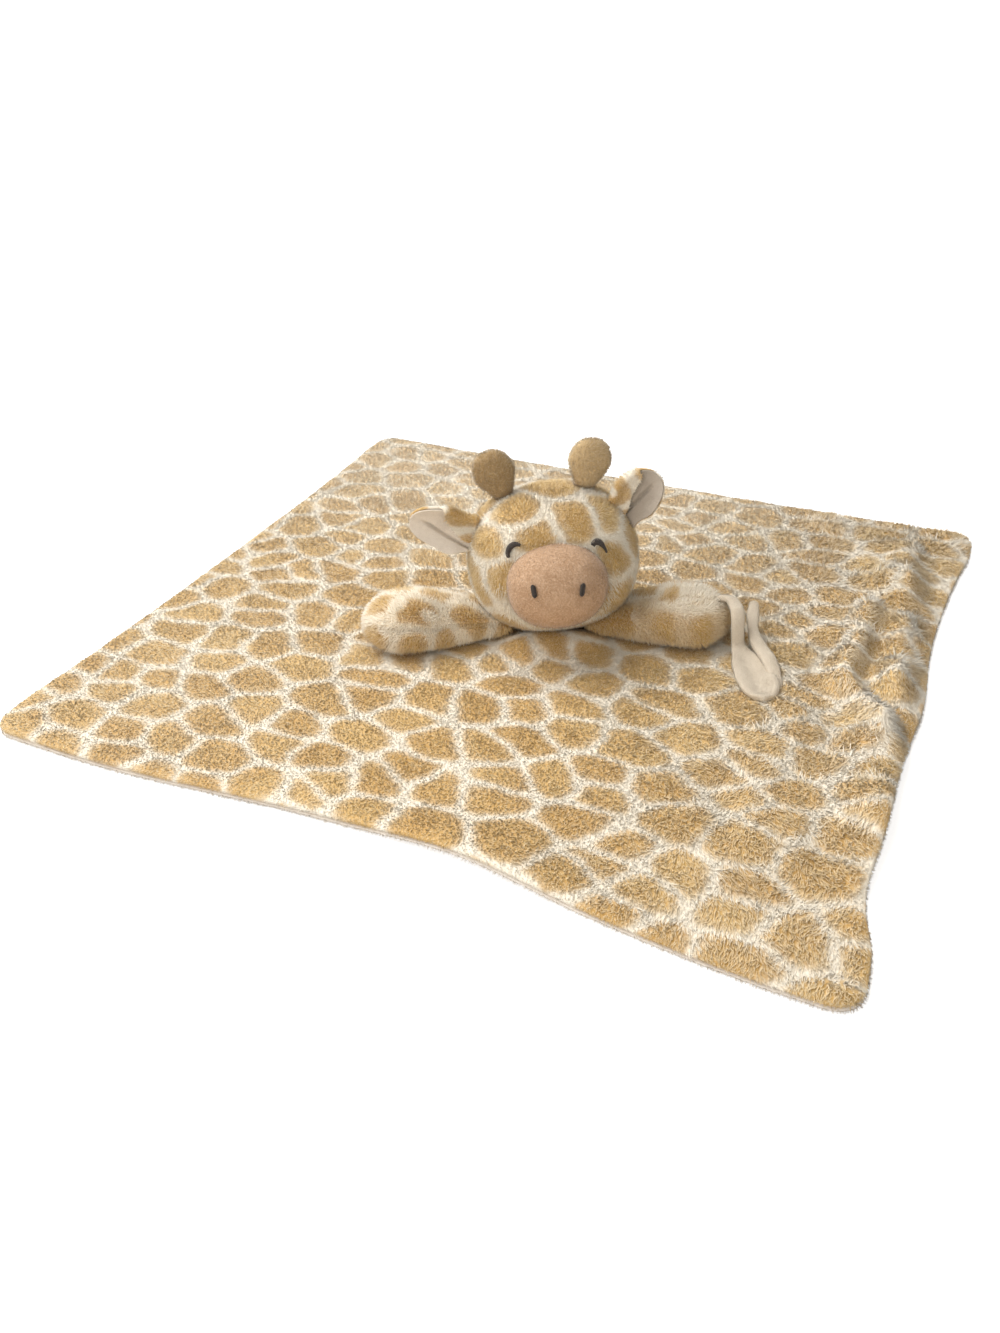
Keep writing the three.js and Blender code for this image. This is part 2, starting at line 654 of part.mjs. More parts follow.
function armBody(offset) {
  const base = BLANKET_TOP_Z + SEAM_GAP;
  const rings = ARM_SECTION_SHARES.map(([alongShare, root, wrist, paw, fullness]) => {
    const fullWidth = root * ARM_ROOT_HALF_WIDTH + wrist * ARM_WRIST_HALF_WIDTH + paw * PAW_HALF_WIDTH;
    const fullHeight = root * ARM_ROOT_HEIGHT + wrist * ARM_WRIST_HEIGHT + paw * PAW_HEIGHT;
    const half = new THREE.Vector3(1, fullWidth * fullness + offset, (fullHeight / 2) * fullness + offset);
    const x = alongShare === 0 ? -offset : alongShare * (ARM_LENGTH + offset);
    return Array.from({ length: ARM_ROUND }, (_, k) => {
      const turn = (2 * Math.PI * k) / ARM_ROUND;
      const unit = new THREE.Vector3(0, Math.cos(turn), Math.sin(turn));
      const r = reachOf(half, ARM_POWER, unit);
      return new THREE.Vector3(x, r * unit.y, base + fullHeight / 2 + r * unit.z);
    });
  });
  const first = new THREE.Vector3(-offset, 0, base + ARM_ROOT_HEIGHT / 2);
  const last = new THREE.Vector3(ARM_LENGTH + offset, 0, base + PAW_HEIGHT / 2);
  return skinOfRings(first, rings, last);
}

// Where an arm lies, seen from the giraffe
function armPlace(sideSign) {
  const turn = sideSign > 0 ? -ARM_FORWARD : Math.PI + ARM_FORWARD;
  return new THREE.Matrix4()
    .makeTranslation(sideSign * ARM_ROOT_X + ARM_PAIR_SHIFT, ARM_ROOT_Y, 0)
    .multiply(new THREE.Matrix4().makeRotationZ(turn));
}

// A turn by an angle about an axis through a point
function turnAbout(point, axis, angle) {
  return new THREE.Matrix4()
    .makeTranslation(point.x, point.y, point.z)
    .multiply(new THREE.Matrix4().makeRotationAxis(axis, angle))
    .multiply(new THREE.Matrix4().makeTranslation(-point.x, -point.y, -point.z));
}

// The head as the arm meets it while the arm folds forward and up about its seam and the head turns,
// each at a share of its range
function headSeenByArm(sideSign, foldShare, turnShare) {
  const axis = new THREE.Vector3(0, -sideSign * Math.sin(ARM_FOLD_TILT), -sideSign * Math.cos(ARM_FOLD_TILT));
  const pivotX = sideSign * (ARM_ROOT_X - ARM_PIVOT_INSET) + ARM_PAIR_SHIFT;
  const pivot = new THREE.Vector3(pivotX, ARM_ROOT_Y, BLANKET_TOP_Z);
  return armPlace(sideSign)
    .invert()
    .multiply(turnAbout(pivot, axis, -foldShare * ARM_FOLD_RANGE))
    .multiply(new THREE.Matrix4().makeRotationZ(turnShare * HEAD_TURN_RANGE))
    .multiply(HEAD_PLACE);
}

// An arm's body, cut back from the head wherever its fold and the head's turn take them
function clearOfHead(body, clear, sideSign) {
  const head = headBody(clear);
  let left = solidOf(body);
  for (const foldShare of [0, 0.5, 1]) {
    for (const turnShare of [-1, 0, 1]) {
      left = left.subtract(solidOf(head, headSeenByArm(sideSign, foldShare, turnShare)));
    }
  }
  return left;
}

function makeArm(side, sideSign) {
  const arm = new THREE.Group();
  armPlace(sideSign).decompose(arm.position, arm.quaternion, arm.scale);
  const outer = clearOfHead(armBody(0), ARM_HEAD_CLEAR, sideSign);
  const hollow = clearOfHead(armBody(-ARM_WALL), ARM_HEAD_CLEAR + ARM_WALL, sideSign);
  const filling = clearOfHead(armBody(-ARM_WALL - SEAM_GAP), ARM_HEAD_CLEAR + ARM_WALL + SEAM_GAP, sideSign);
  const opening = mouth(ARM_MOUTH_RADIUS, ARM_LENGTH / 2, BLANKET_TOP_Z, SEAM_GAP + 2 * ARM_WALL);
  const cover = outer.subtract(hollow).subtract(opening);
  arm.add(named(side + "_arm_cover", geometryOf(cover), cloth(TAN_PLUSH, 0.9)));
  arm.add(named(side + "_arm_stuffing", geometryOf(filling), cloth(WHITE_FIBRE, 1)));
  return arm;
}

function makeNeck() {
  const profile = [
    [NECK_BORE_RADIUS, 0],
    [NECK_RADIUS, 0],
    [NECK_RADIUS, NECK_HEIGHT],
    [NECK_BORE_RADIUS, NECK_HEIGHT],
    [NECK_BORE_RADIUS, 0],
  ].map(([r, z]) => new THREE.Vector2(r, z));
  const sleeve = new THREE.LatheGeometry(profile, OPENING_SIDES);
  sleeve.rotateX(Math.PI / 2);
  const neck = named("neck_sleeve", sleeve, cloth(TAN_PLUSH, 0.95));
  neck.position.z = BLANKET_TOP_Z + SEAM_GAP;
  return neck;
}

// Strap: each row is a place along a leg. Its shares are of the spread outwards from the paw's tip, of the
// reach in front of it, of the arch's rise over the blanket, and of the half width at the fold.
const FIXED_LEG_SHARES = [
  [-0.25, -0.11, 0.6, 0.38],
  [0.01, -0.09, 0.88, 0.42],
  [0.16, 0, 1, 0.45],
  [0.17, 0.12, 0.95, 0.45],
  [0.13, 0.25, 0.73, 0.45],
  [0.09, 0.36, 0.4, 0.46],
  [0.07, 0.47, 0.14, 0.51],
  [0.03, 0.58, 0, 0.72],
  [0.01, 0.7, 0, 1],
  [0.07, 0.82, 0, 1],
  [0.19, 0.93, 0, 0.74],
  [0.3, 1, 0, 0.38],
];
const FREE_LEG_SHARES = [
  [0.42, 0.98, 0, 0.38],
  [0.74, 0.89, 0, 0.5],
  [0.94, 0.75, 0, 0.58],
  [1, 0.58, 0.02, 0.58],
  [0.94, 0.42, 0.06, 0.54],
  [0.78, 0.29, 0.14, 0.46],
  [0.63, 0.18, 0.25, 0.38],
  [0.58, 0.08, 0.35, 0.38],
  [0.63, -0.02, 0.45, 0.42],
  [0.71, -0.1, 0.53, 0.46],
  [0.76, -0.15, 0.58, 0.38],
];

const SEAM_PLACE_SHARES = [-0.09, -0.09, 0.7];
const FOLD_PLACE_SHARES = [0.41, 0.99, 0];

function strapPoint([spreadShare, reachShare, riseShare]) {
  const tip = new THREE.Vector3(ARM_LENGTH, 0, 0).applyMatrix4(armPlace(1));
  const rest = BLANKET_TOP_Z + SEAM_GAP + STRAP_HALF_THICKNESS;
  return new THREE.Vector3(
    tip.x + spreadShare * STRAP_SPREAD,
    tip.y - reachShare * STRAP_REACH,
    rest + riseShare * STRAP_ARCH_RISE,
  );
}

function strapLeg(legShares, offset) {
  const stations = legShares.map((row) => ({
    at: strapPoint(row),
    side: new THREE.Vector3(1, 0, 0),
    halfWidth: row[3] * STRAP_FOLD_HALF_WIDTH + offset,
    halfThickness: STRAP_HALF_THICKNESS + offset,
  }));
  return strip(stations, STRIP_SIDES);
}

function makeStrap() {
  const sideways = new THREE.Vector3(1, 0, 0);
  // The fixed leg starts at the seam in the paw's tip, and clears the paw while it lifts
  const paw = armBody(SEAM_GAP);
  let fixed = solidOf(strapLeg(FIXED_LEG_SHARES, 0));
  // The free leg starts at the fixed leg's folded end, and clears it while it opens
  const fixedSkin = strapLeg(FIXED_LEG_SHARES, SEAM_GAP);
  let free = solidOf(strapLeg(FREE_LEG_SHARES, 0));
  for (const share of [0, 0.1, 0.2, 0.35, 0.5, 0.65, 0.8, 1]) {
    const lift = turnAbout(strapPoint(SEAM_PLACE_SHARES), sideways, share * STRAP_LIFT_RANGE);
    fixed = fixed.subtract(solidOf(paw, lift.multiply(armPlace(1))));
    const open = turnAbout(strapPoint(FOLD_PLACE_SHARES), sideways, -share * STRAP_OPEN_RANGE);
    free = free.subtract(solidOf(fixedSkin, open));
  }
  return [
    named("strap_fixed_leg", geometryOf(fixed), cloth(STRAP_VELOUR, 0.85)),
    named("strap_free_leg", geometryOf(free), cloth(STRAP_VELOUR, 0.85)),
  ];
}

function makeGiraffe() {
  const giraffe = new THREE.Group();
  giraffe.position.set(GIRAFFE_X, GIRAFFE_Y, 0);
  giraffe.rotation.z = GIRAFFE_TURN;
  giraffe.add(makeNeck());
  const head = new THREE.Group();
  HEAD_PLACE.decompose(head.position, head.quaternion, head.scale);
  head.add(makeHeadCover(), makeHeadStuffing(), ...makeMuzzle());
  for (const [side, sideSign] of [["left", 1], ["right", -1]]) {
    head.add(makeEye(side, sideSign), makeNostril(side, sideSign));
    head.add(makeHorn(side, sideSign), makeEar(side, sideSign));
  }
  giraffe.add(head);
  giraffe.add(makeArm("left", 1), makeArm("right", -1));
  giraffe.add(...makeStrap());
  return giraffe;
}

const group = new THREE.Group();
group.add(makeBlanket(), makeGiraffe());

export default group;
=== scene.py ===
# %% [markdown]
# # A giraffe comfort blanket in plush
#
# A lovey is a small square blanket with a stuffed animal's head and arms sewn to its middle. Almost all of
# it is plush, so this lesson is about one question: how to make a short, dense pile that holds up from
# close by. A hair system would be quick, but it isn't a mesh, so it wouldn't be kept with the model. A bump
# map would be quicker still, but the edges would stay as smooth as plastic. Here each tuft of fibres is a
# small closed spike, and numpy places all of them at once.
#
# The CAD model is loaded first. It says where each piece is, and every piece below takes its place.

import bpy
import numpy as np
from mathutils import Matrix, Vector


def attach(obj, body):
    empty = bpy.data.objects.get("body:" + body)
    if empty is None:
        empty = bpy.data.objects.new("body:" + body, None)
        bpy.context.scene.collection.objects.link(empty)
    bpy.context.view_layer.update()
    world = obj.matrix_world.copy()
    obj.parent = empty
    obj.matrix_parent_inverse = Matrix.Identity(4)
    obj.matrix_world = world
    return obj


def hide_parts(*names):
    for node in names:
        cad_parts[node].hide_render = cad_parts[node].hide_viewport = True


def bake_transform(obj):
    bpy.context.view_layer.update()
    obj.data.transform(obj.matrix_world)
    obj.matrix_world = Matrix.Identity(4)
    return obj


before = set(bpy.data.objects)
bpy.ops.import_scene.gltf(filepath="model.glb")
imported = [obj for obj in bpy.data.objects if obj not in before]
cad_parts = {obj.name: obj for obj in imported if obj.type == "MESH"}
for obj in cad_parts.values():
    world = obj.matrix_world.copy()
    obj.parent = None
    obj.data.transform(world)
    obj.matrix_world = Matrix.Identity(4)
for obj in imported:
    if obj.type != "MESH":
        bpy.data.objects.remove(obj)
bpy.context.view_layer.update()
MM = 0.001

# %% [markdown]
# ## The camera
#
# The photograph was taken from above the blanket's front edge, a little to its right. The place and the
# lens were worked out from the blanket's four corners and its known size. The lens is written for a 36 mm
# sensor along the picture's long side.

# %% Camera
CAMERA_PLACE = Vector((194.5, -446.9, 310.7)) * MM
CAMERA_TURN = np.radians((55.38, 1.27, 25.04))
LENS_MM, SENSOR_MM, NEAREST_SEEN_MM = 29.28, 36, 10

camera = bpy.data.objects.new("camera", bpy.data.cameras.new("camera"))
camera.data.lens = LENS_MM
camera.data.sensor_width = SENSOR_MM
camera.data.clip_start = NEAREST_SEEN_MM * MM
camera.location = CAMERA_PLACE
camera.rotation_euler = CAMERA_TURN
bpy.context.collection.objects.link(camera)
bpy.context.scene.camera = camera
print("camera at, in mm:", [round(v / MM, 1) for v in CAMERA_PLACE], "with a lens of", LENS_MM, "mm")

# %% [markdown]
# ## Noise
#
# Nothing sewn is perfectly even. Smooth noise makes the small differences: a random number sits at each
# corner of a cubic lattice, and a point takes a blend of the eight numbers round it.

# %% Smooth noise
def lattice_value(cell, seed):
    """A steady random number from 0 to 1 for each lattice corner, by mixing its three whole numbers."""
    mixed = cell[..., 0] * 374761393 + cell[..., 1] * 668265263 + cell[..., 2] * 1440662683
    mixed = (mixed + seed * 974634777) & 0xFFFFFFFF
    mixed = ((mixed ^ (mixed >> 13)) * 1274126177) & 0xFFFFFFFF
    return ((mixed ^ (mixed >> 16)) & 0xFFFF) / 0xFFFF


def noise(points, size, seed=0):
    """Smooth noise from -1 to 1: the corner values blended along each axis by 3t^2 - 2t^3."""
    scaled = np.asarray(points) / size
    corner = np.floor(scaled).astype(np.int64)
    t = scaled - corner
    t = t * t * (3 - 2 * t)
    total = 0
    for step in np.ndindex(2, 2, 2):
        share = np.prod(np.where(step, t, 1 - t), axis=-1)
        total = total + share * lattice_value(corner + step, seed)
    return 2 * total - 1


def noise_arrows(points, size, seed):
    """Three noises side by side, as the x, y and z of a small arrow at each point."""
    return np.stack([noise(points, size, seed + k) for k in range(3)], -1)


def ramp(value):
    """A smooth step from 0 to 1, as the value goes from 0 to 1: 3t^2 - 2t^3."""
    t = np.clip(value, 0, 1)
    return t * t * (3 - 2 * t)


def bump(distance, width):
    """A bell curve of height 1: e to the power of -(distance / width)^2."""
    return np.exp(-((distance / width) ** 2))


# %% [markdown]
# ## Surfaces
#
# Each piece starts as a grid of points from a formula. The grid becomes a Surface: points, four-sided faces, and a
# place on a flat map for each corner of each face. A texture can be baked to the map. Where a grid goes round a form,
# its last column joins its first, and its ends close in poles.

# %% Grids made into surfaces
class Surface:
    """Points, faces and flat map of one skin. Faces are rows of four point numbers, and a pole's face
    repeats its last number."""

    def __init__(self, points, faces, flat_map):
        self.points = np.asarray(points, float)
        self.faces = faces
        self.flat_map = flat_map
        corners = self.points[faces]
        across = np.cross(corners[:, 2] - corners[:, 0], corners[:, 3] - corners[:, 1])
        small = np.linalg.norm(across, axis=1, keepdims=True) < 1e-12
        across = np.where(small, np.cross(corners[:, 1] - corners[:, 0], corners[:, 2] - corners[:, 0]), across)
        self.areas = np.linalg.norm(across, axis=1) / 2
        normals = np.zeros_like(self.points)
        for corner in range(4):
            np.add.at(normals, faces[:, corner], across)
        self.normals = unit(normals)


def unit(vectors):
    """The same directions with length 1."""
    return vectors / np.maximum(np.linalg.norm(vectors, axis=-1, keepdims=True), 1e-12)


def grid_faces(rows, columns, closed):
    """Faces between neighbouring rows and columns of a grid, with its last column joined to its first."""
    last = columns if closed else columns - 1
    row, column = np.meshgrid(np.arange(rows - 1), np.arange(last), indexing="ij")
    after = (column + 1) % columns
    faces = np.stack([row * columns + column, row * columns + after, (row + 1) * columns + after,
                      (row + 1) * columns + column], -1).reshape(-1, 4)
    u = np.stack([column, column + 1, column + 1, column], -1) / last
    v = np.stack([row, row, row + 1, row + 1], -1) / (rows - 1)
    return faces, np.stack([u, v], -1).reshape(-1, 4, 2)


def skin(rings, first_pole, last_pole):
    """A closed surface from rings of points, whose numbers run anticlockwise as seen from the last pole."""
    rows, columns = rings.shape[:2]
    faces, flat_map = grid_faces(rows, columns, True)
    count = rows * columns
    k = np.arange(columns)
    after = (k + 1) % columns
    first = np.stack([after, k, np.full(columns, count), np.full(columns, count)], -1)
    top = (rows - 1) * columns
    last = np.stack([top + k, top + after, np.full(columns, count + 1), np.full(columns, count + 1)], -1)
    inset = 0.5 / rows
    flat_map = flat_map * [1, 1 - 2 * inset] + [0, inset]
    u, u_after, middle = k / columns, (k + 1) / columns, (k + 0.5) / columns
    at = lambda x, y: np.stack([x, np.full(columns, y)], -1)
    first_map = np.stack([at(u_after, inset), at(u, inset), at(middle, 0), at(middle, 0)], 1)
    last_map = np.stack([at(u, 1 - inset), at(u_after, 1 - inset), at(middle, 1), at(middle, 1)], 1)
    points = np.concatenate([rings.reshape(-1, 3), [first_pole, last_pole]])
    return Surface(points, np.concatenate([faces, first, last]), np.concatenate([flat_map, first_map, last_map]))


def sheet_between(lower, upper):
    """A closed sheet between two grids of the same shape. Each side has its own half of the flat map."""
    rows, columns = upper.shape[:2]
    faces, flat_map = grid_faces(rows, columns, False)
    count = rows * columns
    index = np.arange(count).reshape(rows, columns)
    rim = np.concatenate([index[0, :-1], index[:-1, -1], index[-1, :0:-1], index[:0:-1, 0]])
    after = np.roll(rim, -1)
    sides = np.stack([rim + count, after + count, after, rim], -1)
    place = np.stack([index % columns / (columns - 1), index // columns / (rows - 1)], -1).reshape(-1, 2)
    side_map = np.stack([place[rim], place[after], place[after], place[rim]], 1) * [0.5, 1]
    points = np.concatenate([upper.reshape(-1, 3), lower.reshape(-1, 3)])
    under = faces[:, ::-1] + count
    under_map = flat_map[:, ::-1] * [0.5, 1] + [0.5, 0]
    return Surface(points, np.concatenate([faces, under, sides]),
                   np.concatenate([flat_map * [0.5, 1], under_map, side_map]))


def moved(surface, place):
    """The surface after a turn and a shift, given as a 4 by 4 matrix."""
    turn, shift = place[:3, :3], place[:3, 3]
    return Surface(surface.points @ turn.T + shift, surface.faces, surface.flat_map)


# %% [markdown]
# A Surface becomes a Blender mesh in one go, with foreach_set. Numbers that a material needs at each point, such as
# how much tan dye it has, go in as a colour attribute called "cloth": red is the dye, green is the tone of its patch,
# which on the horns and the ear linings is painted shade, and blue is how far out along its fibre a point lies, which
# places the plush's painted root shade.

# %% Surfaces made into Blender pieces
def make_piece(name, points, faces, flat_map, cloth, material):
    """A Blender mesh from points in mm, with rows of 3 or 4 point numbers as faces. A row that repeats its
    last number is a triangle."""
    single = faces[:, -1] == faces[:, -2] if faces.shape[1] == 4 else np.zeros(len(faces), bool)
    keep = np.ones(faces.shape, bool)
    keep[single, -1] = False
    sizes = keep.sum(1)
    mesh = bpy.data.meshes.new(name)
    mesh.vertices.add(len(points))
    mesh.vertices.foreach_set("co", (np.asarray(points) * MM).astype(np.float32).ravel())
    mesh.loops.add(int(sizes.sum()))
    mesh.loops.foreach_set("vertex_index", faces[keep].astype(np.int32))
    mesh.polygons.add(len(faces))
    mesh.polygons.foreach_set("loop_start", np.concatenate([[0], np.cumsum(sizes)[:-1]]).astype(np.int32))
    mesh.update(calc_edges=True)
    layer = mesh.uv_layers.new(name="OFBake")
    layer.uv.foreach_set("vector", np.clip(flat_map[keep], 0, 1).astype(np.float32).ravel())
    colours = np.ones((len(points), 4), np.float32)
    colours[:, :3] = cloth
    mesh.color_attributes.new("cloth", "FLOAT_COLOR", "POINT").data.foreach_set("color", colours.ravel())
    mesh.polygons.foreach_set("use_smooth", np.ones(len(faces), bool))
    mesh.materials.append(material)
    piece = bpy.data.objects.new(name, mesh)
    bpy.context.collection.objects.link(piece)
    print(f"{name}: {int((sizes - 2).sum())} triangles")
    return piece


# %% [markdown]
# ## Pile
#
# Plush is knitted with a loop of soft fibres in each stitch, cut or brushed so that they stand and lean. One
# tuft here is a closed spike with three sides: a root triangle under the fabric, and a tip. Its length,
# lean and place all differ a little from its neighbour's. Roots are spread over a surface by area, and each
# takes its normal, its dye and its place on the flat map from the face that it stands on.

# %% Tufts of fibres
def scatter(surface, spacing, seed, chosen=None):
    """Roots spread by area: evenly spaced counts along the summed face areas, each moved at random within
    its step, then placed at random in its face. Returns face numbers and two shares from 0 to 1."""
    draw = np.random.default_rng(seed)
    areas = surface.areas if chosen is None else surface.areas * chosen
    summed = np.cumsum(areas)
    count = int(summed[-1] / spacing**2)
    face = np.searchsorted(summed, (np.arange(count) + draw.random(count)) * summed[-1] / count)
    return np.minimum(face, len(areas) - 1), draw.random(count), draw.random(count)


def on_faces(values, faces, a, b):
    """A value given at each point, blended inside four-sided faces by the two shares."""
    corner = values[faces]
    a, b = (share.reshape(-1, *[1] * (corner.ndim - 2)) for share in (a, b))
    low = corner[:, 0] * (1 - a) + corner[:, 1] * a
    high = corner[:, 3] * (1 - a) + corner[:, 2] * a
    return low * (1 - b) + high * b


def value_at(value, root):
    """A value, or what a function of the roots gives."""
    return np.asarray(value(root) if callable(value) else value, float)


# By how much a tuft's dye and tone differ from its cloth's, and its direction, length and width from its
# neighbours'. The comb and the length also drift, each by a share over noise of a size in mm.
SPECKLE, TONE_SPECKLE = 0.2, 0.3
STRAY, LENGTH_SPREAD, WIDTH_SPREAD = 0.24, 0.12, 0.15
BROAD_COMB, BROAD_COMB_SIZE, FINE_COMB, FINE_COMB_SIZE = 0.5, 14, 0.4, 4
LENGTH_DRIFT, LENGTH_DRIFT_SIZE = 0.2, 9
# In mm: how deep a root starts, and how far above it the point lies from which a tuft's own shading spreads
ROOT_DEPTH, SHADING_RISE = 0.25, 0.2
TUFT_FACES = ([0, 2, 1], [0, 1, 3], [1, 2, 3], [2, 0, 3])


def tufts(surface, cloth, spacing, length, width, lean, comb, seed, chosen=None, evenness=0.5, tip_dye_and_painted_light=1):
    """Closed three-sided spikes. A spike points along the normal, leant towards the comb direction by the
    lean and by noise, so that neighbours lie alike but never the same. Width and length are in mm. Length,
    lean, comb and the share of dye that reaches the tips may be functions of the roots. Evenness is the
    share of the cloth's own normal in each spike's shading. Each spike's dye and tone differ a little."""
    draw = np.random.default_rng(seed + 1)
    face, a, b = scatter(surface, spacing, seed, chosen)
    rows = surface.faces[face]
    root = on_faces(surface.points, rows, a, b)
    normal = unit(on_faces(surface.normals, rows, a, b))
    comb = value_at(comb, root) + BROAD_COMB * noise_arrows(root, BROAD_COMB_SIZE, seed + 2)
    comb = comb + FINE_COMB * noise_arrows(root, FINE_COMB_SIZE, seed + 5)
    flat_comb = comb - normal * (comb * normal).sum(1, keepdims=True)
    stray = draw.normal(0, STRAY, (len(root), 3))
    lean = np.broadcast_to(value_at(lean, root), len(root))[:, None]
    along = unit(normal * np.cos(lean) + flat_comb * np.sin(lean) + stray * np.sin(lean))
    side = unit(np.cross(along, normal + 0.01))
    other = np.cross(along, side)
    drift = 1 + LENGTH_DRIFT * noise(root, LENGTH_DRIFT_SIZE, seed + 8)
    reach = (value_at(length, root) * (drift + draw.normal(0, LENGTH_SPREAD, len(root))))[:, None]
    radius = width / 2 * (1 + draw.normal(0, WIDTH_SPREAD, len(root)))[:, None]
    turn = draw.random(len(root)) * 2 * np.pi
    spike = []
    for k in range(3):
        angle = (turn + 2 * np.pi * k / 3)[:, None]
        spike.append(root - ROOT_DEPTH * normal + radius * (side * np.cos(angle) + other * np.sin(angle)))
    spike.append(root + along * reach)
    points = np.stack(spike, 1)
    index = 4 * np.arange(len(root))[:, None]
    faces = np.stack([index + row for row in TUFT_FACES], 1).reshape(-1, 3)
    place = flat_places(surface, face, a, b, points - root[:, None])
    flat_map = place.reshape(-1, 2)[faces]
    here = on_faces(cloth, rows, a, b)
    shades = np.repeat(here[:, None], 4, 1)
    # The third number is 0 at the roots and 1 at the tip. The plush's painted root shade fades out along it.
    shades[:, :3, 2] = 0
    shades[:, 3, 2] = 1
    # On the blanket, the tips' share of dye also carries painted light
    shades[:, 3, 0] *= value_at(tip_dye_and_painted_light, root)
    shades[..., 0] *= 1 - SPECKLE * draw.random((len(root), 1)) ** 2
    shades[..., 1] = np.clip(shades[..., 1] + draw.normal(0, TONE_SPECKLE, (len(root), 1)), 0, 1)
    own = unit(points - root[:, None] - along[:, None] * SHADING_RISE)
    normals = unit(evenness * normal[:, None] + (1 - evenness) * own)
    return points.reshape(-1, 3), faces, flat_map, shades.reshape(-1, 3), normals.reshape(-1, 3)


def flat_places(surface, face, a, b, offsets):
    """Where points near a face lie on the flat map: each offset is split along the face's two edges, and
    the same shares of the edges' map lengths are added to the root's place."""
    corner = surface.points[surface.faces[face]]
    flat = surface.flat_map[face]
    edges = np.stack([corner[:, 1] - corner[:, 0], corner[:, 3] - corner[:, 0]], -1)
    square = np.einsum("nij,nik->njk", edges, edges) + 1e-6 * np.eye(2)
    shares = np.linalg.solve(square[:, None], np.einsum("nij,npi->npj", edges, offsets)[..., None])[..., 0]
    shares = np.clip(shares, -2, 2) + np.stack([a, b], -1)[:, None]
    edge_map = np.stack([flat[:, 1] - flat[:, 0], flat[:, 3] - flat[:, 0]], 1)
    return flat[:, None, 0] + np.einsum("npj,njk->npk", shares, edge_map)


MOST_TUFTS = 49_000


def make_pile(name, parts, material):
    """Pile pieces from the parts that tufts() returns. None holds more tufts, of four triangles each, than
    the most that a piece may have."""
    made = []
    points, faces, flat_map, shades, normals = parts
    count = len(points) // 4
    pieces = -(-count // MOST_TUFTS)
    cuts = np.linspace(0, count, pieces + 1).astype(int)
    for number, (start, stop) in enumerate(zip(cuts[:-1], cuts[1:]), 1):
        label = name if pieces == 1 else f"{name}_{number}"
        some = slice(4 * start, 4 * stop)
        piece = make_piece(label, points[some], faces[some] - 4 * start, flat_map[some], shades[some], material)
        piece.data.normals_split_custom_set_from_vertices(normals[some])
        made.append(piece)
    return made


# %% [markdown]
# ## The print
#
# The plush is printed like a giraffe's coat: tan patches with cream lines between them. Seed points are
# placed about a patch apart. A point of the cloth belongs to its nearest seed, and the line runs where two
# seeds are equally near. The distance to that line is (far^2 - near^2) / (2 x the seeds' own distance), and
# taking a soft minimum over a few neighbours rounds the patches' corners.

# %% Giraffe print
LINE_HALF_WIDTH, FORM_LINE_HALF_WIDTH, PRINT_BLUR = 0.9, 1.0, 1.8
PATCH_CENTRE_DEPTH, EDGE_DYE_SHARE = 5.5, 0.66
CORNER_SOFTNESS = 1.9
PRINT_NEIGHBOURS, POINTS_AT_ONCE = 5, 20_000
# Noises, each a strength and a size in mm: two shift the print about, and two fray its lines
BROAD_WARP, BROAD_WARP_SIZE, FINE_WARP, FINE_WARP_SIZE = 2.0, 11, 0.7, 3.5
FINE_FRAY, FINE_FRAY_SIZE, BROAD_FRAY, BROAD_FRAY_SIZE = 0.35, 1.3, 0.5, 8


def giraffe_print(points, seeds, seed, line=FORM_LINE_HALF_WIDTH, pale=()):
    """The cloth values for a printed plush: dye from 0 on a line, rising fast at a patch's edge and slowly
    on to 1 at its middle, and the patch's tone. Each pale spot, given as x, y, z and a radius, has no dye."""
    warp = BROAD_WARP * noise_arrows(points, BROAD_WARP_SIZE, seed + 1)
    warp = warp + FINE_WARP * noise_arrows(points, FINE_WARP_SIZE, seed + 4)
    where = points + warp
    dye, tone = np.empty(len(points)), np.empty(len(points))
    tones = np.random.default_rng(seed).random(len(seeds))
    for start in range(0, len(points), POINTS_AT_ONCE):
        some = slice(start, start + POINTS_AT_ONCE)
        here, near = where[some], points[some]
        square = (here**2).sum(1)[:, None] - 2 * here @ seeds.T + (seeds**2).sum(1)
        nearest = np.argpartition(square, PRINT_NEIGHBOURS, axis=1)[:, :PRINT_NEIGHBOURS + 1]
        found = np.take_along_axis(square, nearest, 1)
        order = np.argsort(found, axis=1)
        nearest, found = np.take_along_axis(nearest, order, 1), np.take_along_axis(found, order, 1)
        apart = np.linalg.norm(seeds[nearest[:, 1:]] - seeds[nearest[:, :1]], axis=-1)
        to_line = (found[:, 1:] - found[:, :1]) / (2 * apart)
        soft = -CORNER_SOFTNESS * np.log(np.exp(-to_line / CORNER_SOFTNESS).sum(1))
        frayed = soft + FINE_FRAY * noise(near, FINE_FRAY_SIZE, seed + 7)
        inside = frayed + BROAD_FRAY * noise(near, BROAD_FRAY_SIZE, seed + 8) - line
        edge, middle = ramp(inside / PRINT_BLUR), ramp(inside / PATCH_CENTRE_DEPTH)
        dye[some] = EDGE_DYE_SHARE * edge + (1 - EDGE_DYE_SHARE) * middle
        tone[some] = tones[nearest[:, 0]]
    for x, y, z, radius in pale:
        dye = dye * ramp((np.linalg.norm(where - [x, y, z], axis=1) - radius) / PRINT_BLUR + 0.5)
    return np.stack([dye, tone, np.zeros(len(points))], -1)


def plain_cloth(points):
    """The cloth values for a cloth without a print."""
    values = np.zeros((len(points), 3))
    values[:, 0] = 1
    return values


# %% [markdown]
# ## Materials
#
# Real plush is lighter at its tips, where light gets into the fibres, and darker at its roots, where the fibres shade
# each other. Each plush material reads the cloth attribute, mixes the dye between cream and tan, paints that shade on
# the roots, and adds small clumps of lighter and darker fibres. Sheen gives the soft rim that all pile has.

# %% Plush and velour materials
def linear(red, green, blue):
    """A colour written as it looks, 0 to 255, in the linear values that a shader takes."""
    share = np.array([red, green, blue]) / 255
    return (*np.where(share <= 0.04045, share / 12.92, ((share + 0.055) / 1.055) ** 2.4), 1.0)


CLOTH_GLOSS, THREAD_GLOSS = 0.12, 0.4


